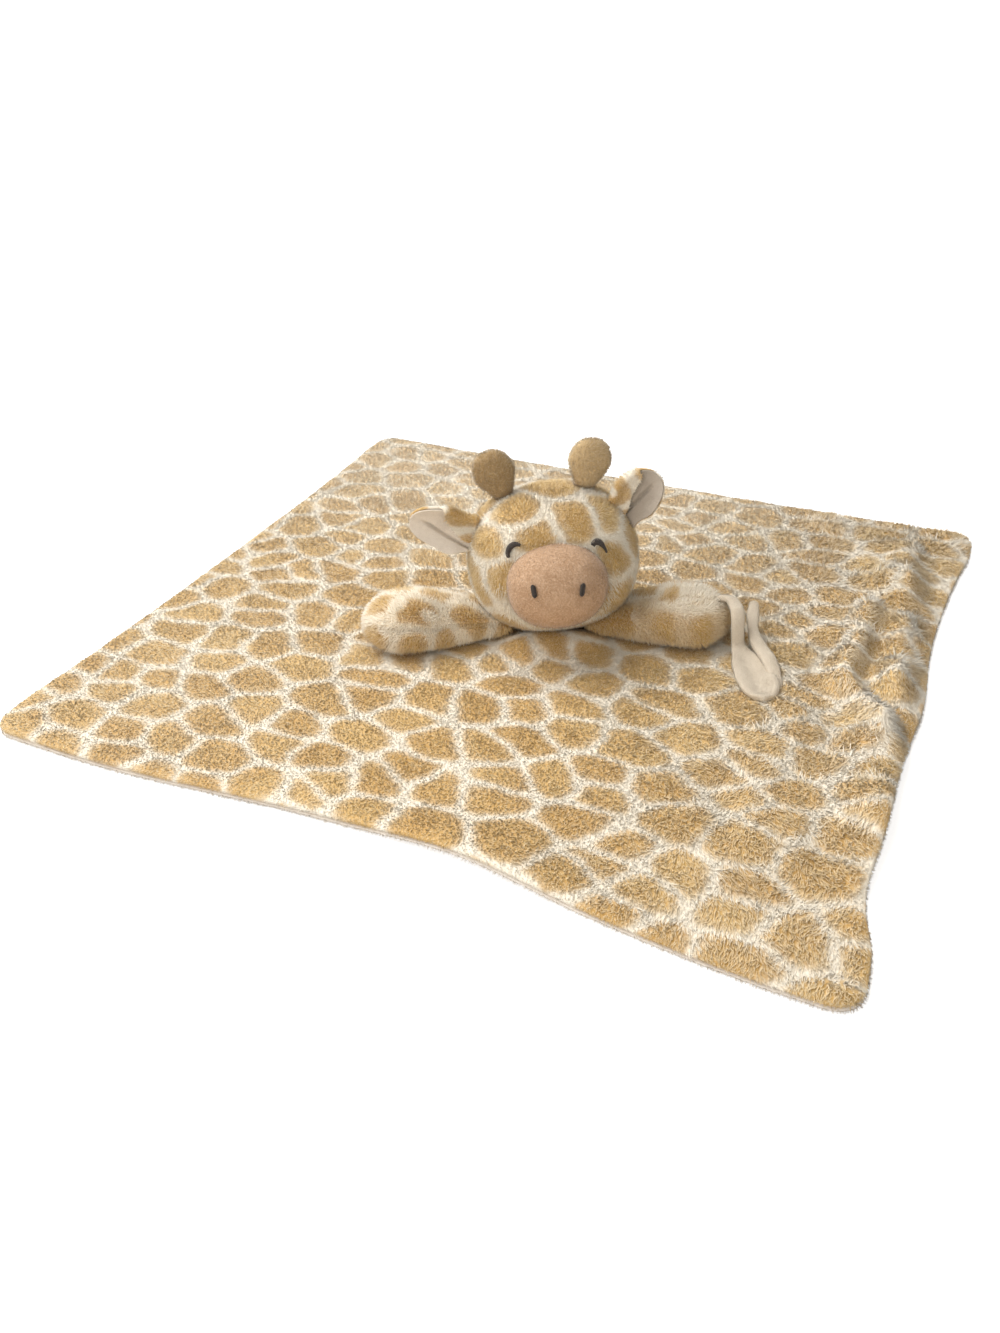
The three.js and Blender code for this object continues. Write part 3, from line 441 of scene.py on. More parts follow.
def new_material(name, roughness, sheen, sheen_roughness=0.45):
    """A material and its surface shader, which is set for cloth."""
    material = bpy.data.materials.new(name)
    material.use_nodes = True
    shader = material.node_tree.nodes["Principled BSDF"]
    shader.inputs["Roughness"].default_value = roughness
    shader.inputs["Sheen Weight"].default_value = sheen
    shader.inputs["Sheen Roughness"].default_value = sheen_roughness
    shader.inputs["Specular IOR Level"].default_value = CLOTH_GLOSS
    return material, shader


def add_node(material, kind, **values):
    """A new node. A value named after an input sets it or links to it, and any other sets a property."""
    tree = material.node_tree
    node = tree.nodes.new(kind)
    for key, value in values.items():
        if hasattr(node, key) and not isinstance(value, bpy.types.NodeSocket):
            setattr(node, key, value)
            continue
        target = node.inputs[int(key[1:])] if key[1:].isdigit() else node.inputs[key.replace("_", " ")]
        if isinstance(value, bpy.types.NodeSocket):
            tree.links.new(value, target)
        else:
            target.default_value = value
    return node


def mix_colours(material, factor, first, second, blend="MIX"):
    """The colour output of a Mix node, between two colours or links."""
    node = add_node(material, "ShaderNodeMix", data_type="RGBA", blend_type=blend, clamp_factor=True)
    tree = material.node_tree
    for socket, value in zip((node.inputs[0], node.inputs[6], node.inputs[7]), (factor, first, second)):
        if isinstance(value, bpy.types.NodeSocket):
            tree.links.new(value, socket)
        else:
            socket.default_value = value
    return node.outputs[2]


def shade_noise(material, scale, detail=3.0):
    """Noise over the object's own coordinates. The scale is how many lumps there are in a metre."""
    place = add_node(material, "ShaderNodeTexCoord")
    return add_node(material, "ShaderNodeTexNoise", Vector=place.outputs["Object"], Scale=scale, Detail=detail)


def spread_of(material, value, low, high, to_low=0.0, to_high=1.0):
    """A value mapped from one range to another."""
    node = add_node(material, "ShaderNodeMapRange", Value=value, From_Min=low, From_Max=high,
                    To_Min=to_low, To_Max=to_high)
    return node.outputs["Result"]


def cloth_values(material):
    """Links to the three numbers of the cloth attribute: dye, tone, and how far out along a fibre."""
    cloth = add_node(material, "ShaderNodeVertexColor", layer_name="cloth")
    return add_node(material, "ShaderNodeSeparateColor", Color=cloth.outputs["Color"]).outputs[:3]


# Lumps in a metre of the plush's tints, and how strongly its clumps and specks show
TINT_LUMPS, CLUMP_LUMPS, SPECK_LUMPS = 45, 620, 1300
CLUMP_LIGHT, SPECK_LIGHT, SPECK_SHADE = 0.14, 0.3, 0.35
# How strong the painted shade on the roots is, and the share of it that cream fibres take
ROOT_SHADE, CREAM_ROOT_SHARE = 0.45, 0.3


def plush_material(name, tan, deep_tan, cream, root_shade, tip_light):
    """Printed or plain plush. Deep tan tints some patches, clumps of fibres vary in tone, and the roots take painted
    shade, weaker on cream fibres, so that these are nearly as light at their roots as at their tips."""
    material, shader = new_material(name, 0.92, 0.35)
    dye, tone, tip = cloth_values(material)
    patches = mix_colours(material, spread_of(material, tone, 0.2, 1.0), tan, deep_tan)
    tints = shade_noise(material, TINT_LUMPS, 2.0).outputs["Fac"]
    patches = mix_colours(material, spread_of(material, tints, 0.45, 0.75), patches, deep_tan)
    colour = mix_colours(material, dye, cream, patches)
    clumps = shade_noise(material, CLUMP_LUMPS, 2.0).outputs["Fac"]
    colour = mix_colours(material, spread_of(material, clumps, 0.3, 0.7, 0.0, CLUMP_LIGHT), colour, tip_light)
    specks = shade_noise(material, SPECK_LUMPS, 2.0).outputs["Fac"]
    colour = mix_colours(material, spread_of(material, specks, 0.5, 0.75, 0.0, SPECK_LIGHT), colour, tip_light)
    dark_specks = spread_of(material, specks, 0.5, 0.3, 0.0, SPECK_SHADE)
    colour = mix_colours(material, dark_specks, colour, root_shade, "MULTIPLY")
    # Painted shade on the roots: the root shade colour is multiplied in, weaker on cream, and it is gone from about
    # halfway up each fibre
    depth = spread_of(material, dye, 0.0, 0.8, CREAM_ROOT_SHARE * ROOT_SHADE, ROOT_SHADE)
    roots = mix_colours(material, depth, colour, root_shade, "MULTIPLY")
    colour = mix_colours(material, spread_of(material, tip, 0.0, 0.45), roots, colour)
    material.node_tree.links.new(colour, shader.inputs["Base Color"])
    return material


VELOUR_PAINTED_SHADE = linear(190, 187, 184)
BRUSHED_LUMPS, NAP_DEPTH = 130, 0.3


def velour_material(name, colour, shade, light, nap_size, nap_strength, nap_light=0.6):
    """A close velour: fine nap in the bump, with broad worn and brushed shading in the colour, and painted shade,
    darker where the cloth's tone is high. The nap's size is in mm."""
    material, shader = new_material(name, 0.85, 0.45, 0.35)
    nap = shade_noise(material, 1000 / nap_size, 4.0).outputs["Fac"]
    brushed = shade_noise(material, BRUSHED_LUMPS, 3.0).outputs["Fac"]
    mixed = mix_colours(material, spread_of(material, brushed, 0.35, 0.7), colour, shade)
    mixed = mix_colours(material, spread_of(material, nap, 0.45, 0.75, 0, nap_light), mixed, light)
    # Painted shade: the cloth's tone multiplies the colour towards the velour's painted shade colour
    mixed = mix_colours(material, cloth_values(material)[1], mixed, VELOUR_PAINTED_SHADE, "MULTIPLY")
    relief = add_node(material, "ShaderNodeBump", Strength=nap_strength, Distance=NAP_DEPTH * MM, Height=nap)
    material.node_tree.links.new(mixed, shader.inputs["Base Color"])
    material.node_tree.links.new(relief.outputs["Normal"], shader.inputs["Normal"])
    return material


TAN, DEEP_TAN, CREAM = linear(223, 191, 127), linear(207, 170, 102), linear(251, 244, 229)
printed_plush = plush_material("printed_plush", TAN, DEEP_TAN, CREAM, root_shade=linear(214, 194, 168),
                               tip_light=linear(255, 244, 224))
horn_plush = plush_material("horn_plush", linear(220, 196, 154), linear(176, 149, 108), CREAM,
                            root_shade=linear(230, 218, 200), tip_light=linear(236, 216, 184))
backing_plush = plush_material("backing_plush", linear(244, 238, 230), linear(238, 231, 222), CREAM,
                               root_shade=linear(230, 222, 214), tip_light=linear(255, 252, 246))
muzzle_velour = velour_material("muzzle_velour", linear(191, 158, 129), linear(176, 142, 112), linear(212, 182, 154),
                                nap_size=0.9, nap_strength=0.9, nap_light=0.9)
ear_velour = velour_material("ear_velour", linear(230, 219, 205), linear(217, 205, 190), linear(237, 228, 215),
                             nap_size=0.6, nap_strength=0.5)
strap_velour = velour_material("strap_velour", linear(209, 197, 179), linear(196, 183, 164), linear(220, 210, 193),
                               nap_size=0.6, nap_strength=0.6)
print("cloths:", [cloth.name for cloth in (printed_plush, horn_plush, backing_plush, muzzle_velour, ear_velour,
                                           strap_velour)])

# %% [markdown]
# The eyes and nostrils are satin stitched: each is a bar of threads laid side by side, so the material only
# needs a thread's dark colour and its soft gloss. The geometry makes the threads.

# %% Thread material
black_thread, thread_shader = new_material("black_thread", 0.42, 0.1)
thread_tone = shade_noise(black_thread, 900).outputs["Fac"]
thread_colour = mix_colours(black_thread, spread_of(black_thread, thread_tone, 0.3, 0.7),
                            linear(34, 28, 24), linear(64, 54, 46))
black_thread.node_tree.links.new(thread_colour, thread_shader.inputs["Base Color"])
thread_shader.inputs["Specular IOR Level"].default_value = THREAD_GLOSS

# %% [markdown]
# ## The blanket
#
# Two plies of plush are sewn face to face round their edge, turned, and left flat. The edge is a soft roll,
# drawn in between the corners, because the seam is a little tighter than the cloth. The blanket lies flat
# but for one long fold along its right side and a lifted stretch in front. The same formulas as in the CAD
# model give these, so that the cloth lies where the solid lies.

# %% Blanket outline and folds
BLANKET_WIDTH, BLANKET_DEPTH = 400, 372
CORNER_RADIUS, EDGE_ROUND = 12, 6
FRONT_DRAW_IN, FRONT_DRAW_CENTRE, FRONT_DRAW_REACH = 12.5, 10, 170
RIGHT_DRAW_IN, LEFT_DRAW_IN, FAR_DRAW_IN, DRAWN_SHARE = 8, 4, 3, 0.84
FOLD_HEIGHT, FOLD_INNER_WIDTH, FOLD_OUTER_WIDTH = 9, 15, 10
FOLD_MIDDLE_X, FOLD_SLOPE_SHARE = 181.5, -0.098
FOLD_FAR_Y, FOLD_NEAR_Y, FOLD_FADE = 128, -95, 42
WRINKLE_PITCH, WRINKLE_SHARE = 47, 0.28
LIFT_HEIGHT, LIFT_CENTRE_X, LIFT_LENGTH, LIFT_DEPTH = 4.5, 42, 38, 20
# Waves of the right edge and of the cloth along it: bells of a height at a y with a width
EDGE_WAVES = ((3.7, 0, 35), (-4.8, -130, 26))
# The ridge beside the fold. It steps to the right as it comes forward, and fades at both its ends.
RIDGE_HEIGHT, RIDGE_HOLLOW, RIDGE_WIDTH, HOLLOW_OFFSET = 6.5, 4.5, 6.5, 13
RIDGE_FAR_X, RIDGE_STEP, RIDGE_STEP_Y, RIDGE_STEP_LENGTH = 157, 22, 10, 45
RIDGE_FAR_Y, RIDGE_NEAR_Y, RIDGE_FADE = 85, -50, 20
# Billows lie from left to right between two places, and up to one in depth, each with its fade
BILLOW_HEIGHT, BILLOW_SIZE, BILLOW_STRETCH = 2.2, 16, 0.55
BILLOW_LEFT, BILLOW_LEFT_FADE, BILLOW_RIGHT, BILLOW_RIGHT_FADE, BILLOW_END, BILLOW_END_FADE = 105, 40, 185, 20, 170, 30
FLAT_CUT = 0.5
BACKING_THICKNESS, TOP_THICKNESS, EDGE_THICKNESS, SEAM_GAP = 2.2, 3.2, 0.9, 0.3
TOP_BASE_Z = BACKING_THICKNESS + SEAM_GAP
BLANKET_TOP_Z = TOP_BASE_Z + TOP_THICKNESS
BLANKET_ROWS, BLANKET_COLUMNS = 190, 204
# The first grid lines along each edge, in mm from it
EDGE_STEPS = (0, 0.3, 0.8, 1.6, 2.8, 4.4)


def blanket_outline(across, along):
    """A point of the square from -1 to 1 goes to its place in mm: each side is drawn in by a share that is
    largest in its middle, and each corner is squeezed from a square into a quarter circle."""
    half_width, half_depth = BLANKET_WIDTH / 2, BLANKET_DEPTH / 2
    drawn = lambda share: np.maximum(0, 1 - np.abs(share / DRAWN_SHARE) ** 3)
    side = np.where(across > 0, RIGHT_DRAW_IN, LEFT_DRAW_IN)
    x = across * (half_width - side * drawn(along) * np.abs(across))
    from_centre = (across * half_width - FRONT_DRAW_CENTRE) / FRONT_DRAW_REACH
    wave = np.where(np.abs(from_centre) < 1, np.cos(np.pi / 2 * from_centre) ** 2, 0)
    end = np.where(along < 0, FRONT_DRAW_IN * wave, FAR_DRAW_IN * drawn(across))
    y = along * (half_depth - end * np.abs(along))
    corner_x = np.abs(across) * half_width - (half_width - CORNER_RADIUS)
    corner_y = np.abs(along) * half_depth - (half_depth - CORNER_RADIUS)
    inside = (corner_x > 0) & (corner_y > 0)
    squeeze = np.maximum(corner_x, corner_y) / np.maximum(np.hypot(corner_x, corner_y), 1e-9) - 1
    x = x + np.where(inside, np.sign(across) * corner_x * squeeze, 0)
    y = y + np.where(inside, np.sign(along) * corner_y * squeeze, 0)
    wave = sum(height * bump(y - middle, width) for height, middle, width in EDGE_WAVES)
    return x + wave * ramp((across - 0.6) / 0.4), y


def ridge_place(y):
    """The ridge's x at each y: a smooth step from its far place to its near one."""
    return RIDGE_FAR_X + RIDGE_STEP * ramp((RIDGE_STEP_Y - y) / RIDGE_STEP_LENGTH)


def cloth_lift(x, y):
    """How high the cloth stands off its surface, in mm: the fold is a bell across its crest with wrinkles
    along it, a sharper ridge and a hollow cross its middle, low billows lie beside it, and the front
    stretch is a bell along the edge that fades inwards."""
    crest = FOLD_MIDDLE_X + FOLD_SLOPE_SHARE * y
    width = np.where(x < crest, FOLD_INNER_WIDTH, FOLD_OUTER_WIDTH)
    fade = ramp((FOLD_FAR_Y + FOLD_FADE - y) / FOLD_FADE) * ramp((y - FOLD_NEAR_Y + FOLD_FADE) / FOLD_FADE)
    wrinkle = 1 + WRINKLE_SHARE * np.sin(2 * np.pi * y / WRINKLE_PITCH)
    fold = FOLD_HEIGHT * bump(x - crest, width) * fade * wrinkle
    ridge_x = ridge_place(y)
    hollow = RIDGE_HOLLOW * bump(x - ridge_x - HOLLOW_OFFSET, RIDGE_WIDTH)
    ridge = RIDGE_HEIGHT * bump(x - ridge_x, RIDGE_WIDTH) - hollow
    fold = fold + ridge * ramp((RIDGE_FAR_Y - y) / RIDGE_FADE) * ramp((y - RIDGE_NEAR_Y) / RIDGE_FADE)
    places = np.stack([x, BILLOW_STRETCH * y, np.zeros_like(x)], -1)
    billow = BILLOW_HEIGHT * (0.5 + 0.5 * noise(places, BILLOW_SIZE, 35))
    billow = billow * ramp((x - BILLOW_LEFT) / BILLOW_LEFT_FADE) * ramp((BILLOW_RIGHT - x) / BILLOW_RIGHT_FADE)
    fold = fold + billow * ramp((BILLOW_END - np.abs(y)) / BILLOW_END_FADE)
    from_front = np.maximum(y + BLANKET_DEPTH / 2 - FRONT_DRAW_IN, 0)
    lifted = LIFT_HEIGHT * bump(x - LIFT_CENTRE_X, LIFT_LENGTH) * bump(from_front, LIFT_DEPTH)
    return np.maximum(0, fold + lifted - FLAT_CUT)


def edge_lines(count, half):
    """Grid lines from -1 to 1, evenly spaced but for a few close ones along each edge."""
    close = 1 - np.array(EDGE_STEPS) / half
    middle = np.linspace(-close[-1], close[-1], count - 2 * (len(EDGE_STEPS) - 1))
    return np.concatenate([-close[:-1], middle, close[:-1][::-1]])


across_lines = edge_lines(BLANKET_COLUMNS, BLANKET_WIDTH / 2)
along_lines = edge_lines(BLANKET_ROWS, BLANKET_DEPTH / 2)
ACROSS, ALONG = np.meshgrid(across_lines, along_lines)
CLOTH_X, CLOTH_Y = blanket_outline(ACROSS, ALONG)
CLOTH_Z = cloth_lift(CLOTH_X, CLOTH_Y)
INWARD = np.minimum((1 - np.abs(ACROSS)) * BLANKET_WIDTH / 2, (1 - np.abs(ALONG)) * BLANKET_DEPTH / 2)
print("blanket grid:", CLOTH_X.shape, "highest fold, mm:", round(float(CLOTH_Z.max()), 1))

# %% [markdown]
# The print's seeds lie in loose rows, about 29 mm apart along a row and 20 mm from row to row, as measured
# on the real print, each moved at random. A few cells are split by a second seed, which makes the small
# patches between the large ones. One that falls so close to another seed that its patch would be a sliver is
# left out.

# %% Blanket print
PRINT_PITCH_X, PRINT_PITCH_Y = 29, 20.5
SEED_SCATTER, SPLIT_SHARE, SPLIT_REACH, LEAST_SEED_GAP = 0.36, 0.14, (9, 13), 10.5


def far_from(seeds, kept, distance):
    """The kept seeds, and those of the others that lie at least this far from every kept one."""
    kept = np.asarray(kept, float)
    gaps = np.linalg.norm(seeds[:, None] - kept[None], axis=-1).min(1)
    return np.concatenate([kept, seeds[gaps > distance]])


draw = np.random.default_rng(5)
rows, columns = np.meshgrid(np.arange(-11, 12), np.arange(-9, 10), indexing="ij")
blanket_seeds = np.stack([(columns + 0.5 * (rows % 2)) * PRINT_PITCH_X, rows * PRINT_PITCH_Y], -1).reshape(-1, 2)
scatter_shares = draw.uniform(-SEED_SCATTER, SEED_SCATTER, blanket_seeds.shape)
blanket_seeds = blanket_seeds + scatter_shares * [PRINT_PITCH_X, PRINT_PITCH_Y]
extra = blanket_seeds[draw.random(len(blanket_seeds)) < SPLIT_SHARE]
blanket_seeds = far_from(extra + draw.uniform(*SPLIT_REACH, extra.shape), blanket_seeds, LEAST_SEED_GAP)
blanket_seeds = np.column_stack([blanket_seeds, np.zeros(len(blanket_seeds))])
print("seeds of the blanket's print:", len(blanket_seeds))

# %% [markdown]
# The top panel is a closed sheet. Its skin is kept a pile's height under the CAD surface, so that the tips
# of the tufts end where the solid ends. The patches swell a little, because the printed fibres clump. Under
# the giraffe's chin the cloth is drawn up, so the giraffe's place on the blanket comes first.

# %% The cloth under the chin
GIRAFFE_X, GIRAFFE_Y, GIRAFFE_TURN = 8, 0.4, 25
CHIN_SWELL = dict(x=1, y=-20, height=6.8, wide=25, front=11, back=5)


def chin_swell(x, y):
    """The cloth's rise where the arms' seam draws it up under the chin, in the giraffe's own turned frame: a
    bell from front to back, longer in front, with a flat top across."""
    turn = np.radians(GIRAFFE_TURN)
    from_x, from_y = x - GIRAFFE_X, y - GIRAFFE_Y
    own_x = from_x * np.cos(turn) + from_y * np.sin(turn) - CHIN_SWELL["x"]
    own_y = from_y * np.cos(turn) - from_x * np.sin(turn) - CHIN_SWELL["y"]
    across = np.exp(-((own_x / CHIN_SWELL["wide"]) ** 4))
    return CHIN_SWELL["height"] * across * bump(own_y, np.where(own_y < 0, CHIN_SWELL["front"], CHIN_SWELL["back"]))


# %% Blanket top panel
PILE_RISE, PATCH_SWELL = 1.0, 0.35
UNEVENNESS, UNEVENNESS_SIZE = 0.35, 17
# How much the print's dye is lessened on the left and towards the back: painted light
LEFT_PRINT_PAINTED_LIGHT, BACK_PRINT_PAINTED_LIGHT = 0.06, 0.22
# The print is worked out on cloth stretched in y, so its patches come out wider than they are deep
PRINT_STRETCH = np.array([1, 1.35, 1])
rounded = np.clip(INWARD / EDGE_ROUND, 0, 1)
profile = np.sqrt(rounded * (2 - rounded))


def right_share(root):
    """0 on the left and in the middle, and 1 over the right side."""
    return ramp((root[:, 0] - 20) / 150)


def left_share(root):
    """1 over the left side."""
    return ramp((-root[:, 0] - 10) / 110)


def back_share(root):
    """1 far behind the giraffe, but not on the right."""
    return ramp((root[:, 1] + 10) / 170) * (1 - right_share(root))


flat_points = np.stack([CLOTH_X, CLOTH_Y, np.zeros_like(CLOTH_X)], -1).reshape(-1, 3)
top_print = giraffe_print(flat_points * PRINT_STRETCH, blanket_seeds * PRINT_STRETCH, 21, LINE_HALF_WIDTH)
# Lessening the dye lightens the left side, where the light falls, and the far cloth, seen at a slant: painted light
print_painted_light_share = LEFT_PRINT_PAINTED_LIGHT * left_share(flat_points) + BACK_PRINT_PAINTED_LIGHT * back_share(flat_points)
top_print[:, 0] *= 1 - print_painted_light_share
swell = PATCH_SWELL * top_print[:, 0].reshape(CLOTH_X.shape) * profile + chin_swell(CLOTH_X, CLOTH_Y)
unevenness = UNEVENNESS * noise(flat_points, UNEVENNESS_SIZE, 31).reshape(CLOTH_X.shape) * profile
rise = EDGE_THICKNESS + (TOP_THICKNESS - PILE_RISE - EDGE_THICKNESS) * profile
top_upper = np.stack([CLOTH_X, CLOTH_Y, TOP_BASE_Z + CLOTH_Z + rise + swell + unevenness], -1)
top_lower = np.stack([CLOTH_X, CLOTH_Y, TOP_BASE_Z + CLOTH_Z], -1)
top_surface = sheet_between(top_lower, top_upper)
top_cloth = np.concatenate([top_print, top_print])
blanket_top = make_piece("blanket_top", top_surface.points, top_surface.faces, top_surface.flat_map, top_cloth,
                         printed_plush)
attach(blanket_top, "blanket")
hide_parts("blanket_top_panel")

# %% [markdown]
# Its pile covers the upper side and the rim. The fibres lie towards the front and a little to the right, as on the
# real blanket. Towards the right side they are brushed long and flat, in drifts, and their tips are creamier. Creamier
# tips on the left and towards the back are painted light, and on the ridge's crest they are cream tips with a painted
# highlight. They are short along the rim, where the seam has caught them.

# %% Blanket top pile
TOP_SPACING = 0.84
PILE_LEFT, PILE_RIGHT, PILE_RIM = 1.9, 4.6, 1.0
LEAN_LEFT, LEAN_RIGHT = np.radians((62, 75))
PILE_COMB, DRIFT, DRIFT_SIZE = (0.25, -0.8, 0), 0.6, 28
# How much creamier the tips are: on the right for the long fibres, on the crest for cream tips and a painted
# highlight, and on the left and at the back as painted light
RIGHT_TIP_CREAM, LEFT_TIP_PAINTED_LIGHT, BACK_TIP_PAINTED_LIGHT, CREST_TIP_CREAM_AND_HIGHLIGHT = 0.28, 0.2, 0.75, 0.35
CREST_WIDTH, CREST_NEAR_Y = 6, -60
RIM_INWARD, RIM_FADE = -2, 9


def blanket_pile_length(root):
    """Longer from left to right by a smooth step, and short within a few mm of the blanket's outline, which
    is looked up where the root's own row and column of the square meet it."""
    half_width, half_depth = BLANKET_WIDTH / 2, BLANKET_DEPTH / 2
    across, along = root[:, 0] / half_width, root[:, 1] / half_depth
    side_x, _ = blanket_outline(np.sign(across), np.clip(along, -0.97, 0.97))
    _, end_y = blanket_outline(np.clip(across, -0.97, 0.97), np.sign(along))
    inward = np.minimum(np.abs(side_x) - np.abs(root[:, 0]), np.abs(end_y) - np.abs(root[:, 1]))
    full = PILE_LEFT + (PILE_RIGHT - PILE_LEFT) * right_share(root)
    return PILE_RIM + (full - PILE_RIM) * ramp((inward - RIM_INWARD) / RIM_FADE)


def dye_at_tips_and_painted_light(root):
    """How much dye reaches the tips: less on the right, where the long fibres have cream tips, and on the crest of its
    ridge, for its cream tips and a painted highlight; less on the left and towards the back, as painted light."""
    x, y = root[:, 0], root[:, 1]
    crest = bump(x - ridge_place(y), CREST_WIDTH)
    crest = crest * ramp((RIDGE_FAR_Y - y) / RIDGE_FADE) * ramp((y - CREST_NEAR_Y) / RIDGE_FADE)
    cream = RIGHT_TIP_CREAM * right_share(root) + CREST_TIP_CREAM_AND_HIGHLIGHT * crest
    cream = cream + LEFT_TIP_PAINTED_LIGHT * left_share(root) + BACK_TIP_PAINTED_LIGHT * back_share(root)
    return np.clip(1 - cream, 0, 1)


def blanket_pile_lean(root):
    """Flatter from left to right."""
    return LEAN_LEFT + (LEAN_RIGHT - LEAN_LEFT) * right_share(root)


def blanket_pile_comb(root):
    """One direction for the whole blanket, and drifts of broad noise towards the right."""
    drift = np.stack([noise(root, DRIFT_SIZE, 45), noise(root, DRIFT_SIZE, 46), np.zeros(len(root))], -1)
    return np.array(PILE_COMB) + DRIFT * right_share(root)[:, None] * drift


upper_faces = (BLANKET_ROWS - 1) * (BLANKET_COLUMNS - 1)
on_top = np.zeros(len(top_surface.faces))
on_top[:upper_faces] = 1
on_top[2 * upper_faces:] = 1
top_tufts = tufts(top_surface, top_cloth, TOP_SPACING, blanket_pile_length, width=0.8, lean=blanket_pile_lean,
                  comb=blanket_pile_comb, seed=41, chosen=on_top, evenness=0.7, tip_dye_and_painted_light=dye_at_tips_and_painted_light)
top_pile = make_pile("blanket_top_pile", top_tufts, printed_plush)
for piece in top_pile:
    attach(piece, "blanket")

# %% [markdown]
# The backing is the same cloth without a print, cream and shorter. It shows as a thin line under the front
# and right edges, and as the whole underside.

# %% Blanket backing
PLY_GAP, NAP_RELIEF, NAP_SIZE = 0.2, 0.18, 1.6
backing_rise = EDGE_THICKNESS + (BACKING_THICKNESS - PLY_GAP - EDGE_THICKNESS) * profile
backing_upper = np.stack([CLOTH_X, CLOTH_Y, CLOTH_Z + backing_rise], -1)
nap = NAP_RELIEF * (1 + noise(flat_points, NAP_SIZE, 51).reshape(CLOTH_X.shape))
backing_lower = np.stack([CLOTH_X, CLOTH_Y, CLOTH_Z + nap], -1)
backing_surface = sheet_between(backing_lower, backing_upper)
backing_cloth = plain_cloth(backing_surface.points)
blanket_backing = make_piece("blanket_backing", backing_surface.points, backing_surface.faces,
                             backing_surface.flat_map, backing_cloth, backing_plush)
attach(blanket_backing, "blanket")
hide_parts("blanket_backing_panel")

rim_only = np.zeros(len(backing_surface.faces))
rim_only[2 * upper_faces:] = 1
rim_tufts = tufts(backing_surface, backing_cloth, spacing=0.5, length=1.3, width=0.5, lean=np.radians(35),
                  comb=(0, 0, -0.2), seed=61, chosen=rim_only, evenness=0.3)
backing_rim = make_pile("blanket_backing_pile", rim_tufts, backing_plush)
for piece in backing_rim:
    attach(piece, "blanket")

# %% [markdown]
# ## The giraffe's own frame
#
# The giraffe sits turned on its blanket, so its pieces are made in its own frame, with x to its left and y
# behind it, and then placed. The head has a frame of its own in that, leaning a little to one side.

# %% Frames of the giraffe
def turned(degrees, axis):
    """A turn about an axis, as a 4 by 4 matrix."""
    return Matrix.Rotation(np.radians(degrees), 4, axis)


GIRAFFE_PLACE = Matrix.Translation((GIRAFFE_X, GIRAFFE_Y, 0)) @ turned(GIRAFFE_TURN, "Z")
HEAD_HALF = np.array([43.8, 37, 36])
HEAD_POWER, HEAD_CLEAR = 2.4, 3
HEAD_CENTRE_Z = BLANKET_TOP_Z + HEAD_CLEAR + HEAD_HALF[2]
HEAD_LEAN = turned(2.5, "Z") @ turned(-4.5, "Y")
HEAD_PLACE = GIRAFFE_PLACE @ Matrix.Translation((0, 0, HEAD_CENTRE_Z)) @ HEAD_LEAN
GIRAFFE = np.array(GIRAFFE_PLACE)
HEAD = np.array(HEAD_PLACE)
MUZZLE_HALF = np.array([25.4, 21, 21.4])
MUZZLE_POWER, MUZZLE_REACH, MUZZLE_TILT, MUZZLE_DROP = 2.15, 33, 6, 1.5
MUZZLE = np.array(HEAD_PLACE @ turned(-MUZZLE_TILT, "X") @ Matrix.Translation((0, -MUZZLE_REACH, -MUZZLE_DROP)))
print("head's middle, in mm:", [round(float(v), 1) for v in HEAD[:3, 3]])


def from_head_to_muzzle(points):
    """Points of the head's frame in the muzzle's frame, and 1 where they lie on the muzzle's surface."""
    change = np.linalg.inv(MUZZLE) @ HEAD
    there = points @ change[:3, :3].T + change[:3, 3]
    return there, (np.abs(there / MUZZLE_HALF) ** MUZZLE_POWER).sum(-1) ** (1 / MUZZLE_POWER)


def rounded_form(half, power, rings, round_count, offset=0.0):
    """Points where |x/a|^n + |y/b|^n + |z/c|^n = 1: each direction is scaled by that sum to the power -1/n."""
    half = np.asarray(half, float) + offset
    polar = np.pi * (np.arange(1, rings) / rings)[:, None]
    turn = 2 * np.pi * (np.arange(round_count) / round_count)[None]
    direction = np.stack([np.sin(polar) * np.cos(turn), np.sin(polar) * np.sin(turn),
                          -np.cos(polar) * np.ones_like(turn)], -1)
    reach = (np.abs(direction / half) ** power).sum(-1) ** (-1 / power)
    return direction * reach[..., None], (0, 0, -half[2]), (0, 0, half[2])


def normals_of(points, half, power):
    """Outward directions of that form at its points: the slope of the same sum."""
    return unit(np.sign(points) * np.abs(points / half) ** (power - 1) / half)


# %% [markdown]
# ## The head
#
# A stuffed head is a ball with slightly flat sides. Its plush is the blanket's, with a shorter pile, and its patches
# are the same size, so only about ten show on the face. Their seeds are listed for the face and scattered behind it.
# Round the muzzle the cover is drawn in by the seam, which makes a shallow groove.

# %% Head
HEAD_PILE, HEAD_LINE_HALF_WIDTH, HEAD_TONE = 1.5, 0.9, 0.6
HEAD_LUMPS, HEAD_LUMP_SIZE = 0.5, 15
# The groove's depth in mm, and its middle and width as shares of the muzzle's size
MUZZLE_GROOVE, GROOVE_MIDDLE, GROOVE_WIDTH = 1.3, 1.02, 0.05
FACE_SEEDS = [(-15.5, -12.1, 33.6), (4.6, 5.6, 35.8), (12, -22.5, 30), (-8, -28, 26.5), (-31, -23.2, 19.7),
              (-28.3, -30.3, 8.2), (30, -28.5, 9.8), (29.8, -13, 27.1), (40, -11, 14), (-40.5, -18, 0),
              (28.1, -29.7, -12), (-31, 14, 29), (31, 16, 28)]
FACE_PALE = [(-16.5, -31, 18.5, 3.6), (-27, -29.5, -11, 7)]


def scattered_seeds(half, count, seed):
    """Seeds spread over a ball of these half sizes: even steps down its axis, turned by the golden angle."""
    draw = np.random.default_rng(seed)
    step = (np.arange(count) + 0.5) / count
    height = 1 - 2 * step
    turn = np.pi * (1 + 5**0.5) * np.arange(count) + draw.normal(0, 0.25, count)
    flat = np.sqrt(1 - height**2)
    return np.stack([flat * np.cos(turn), flat * np.sin(turn), height], -1) * half


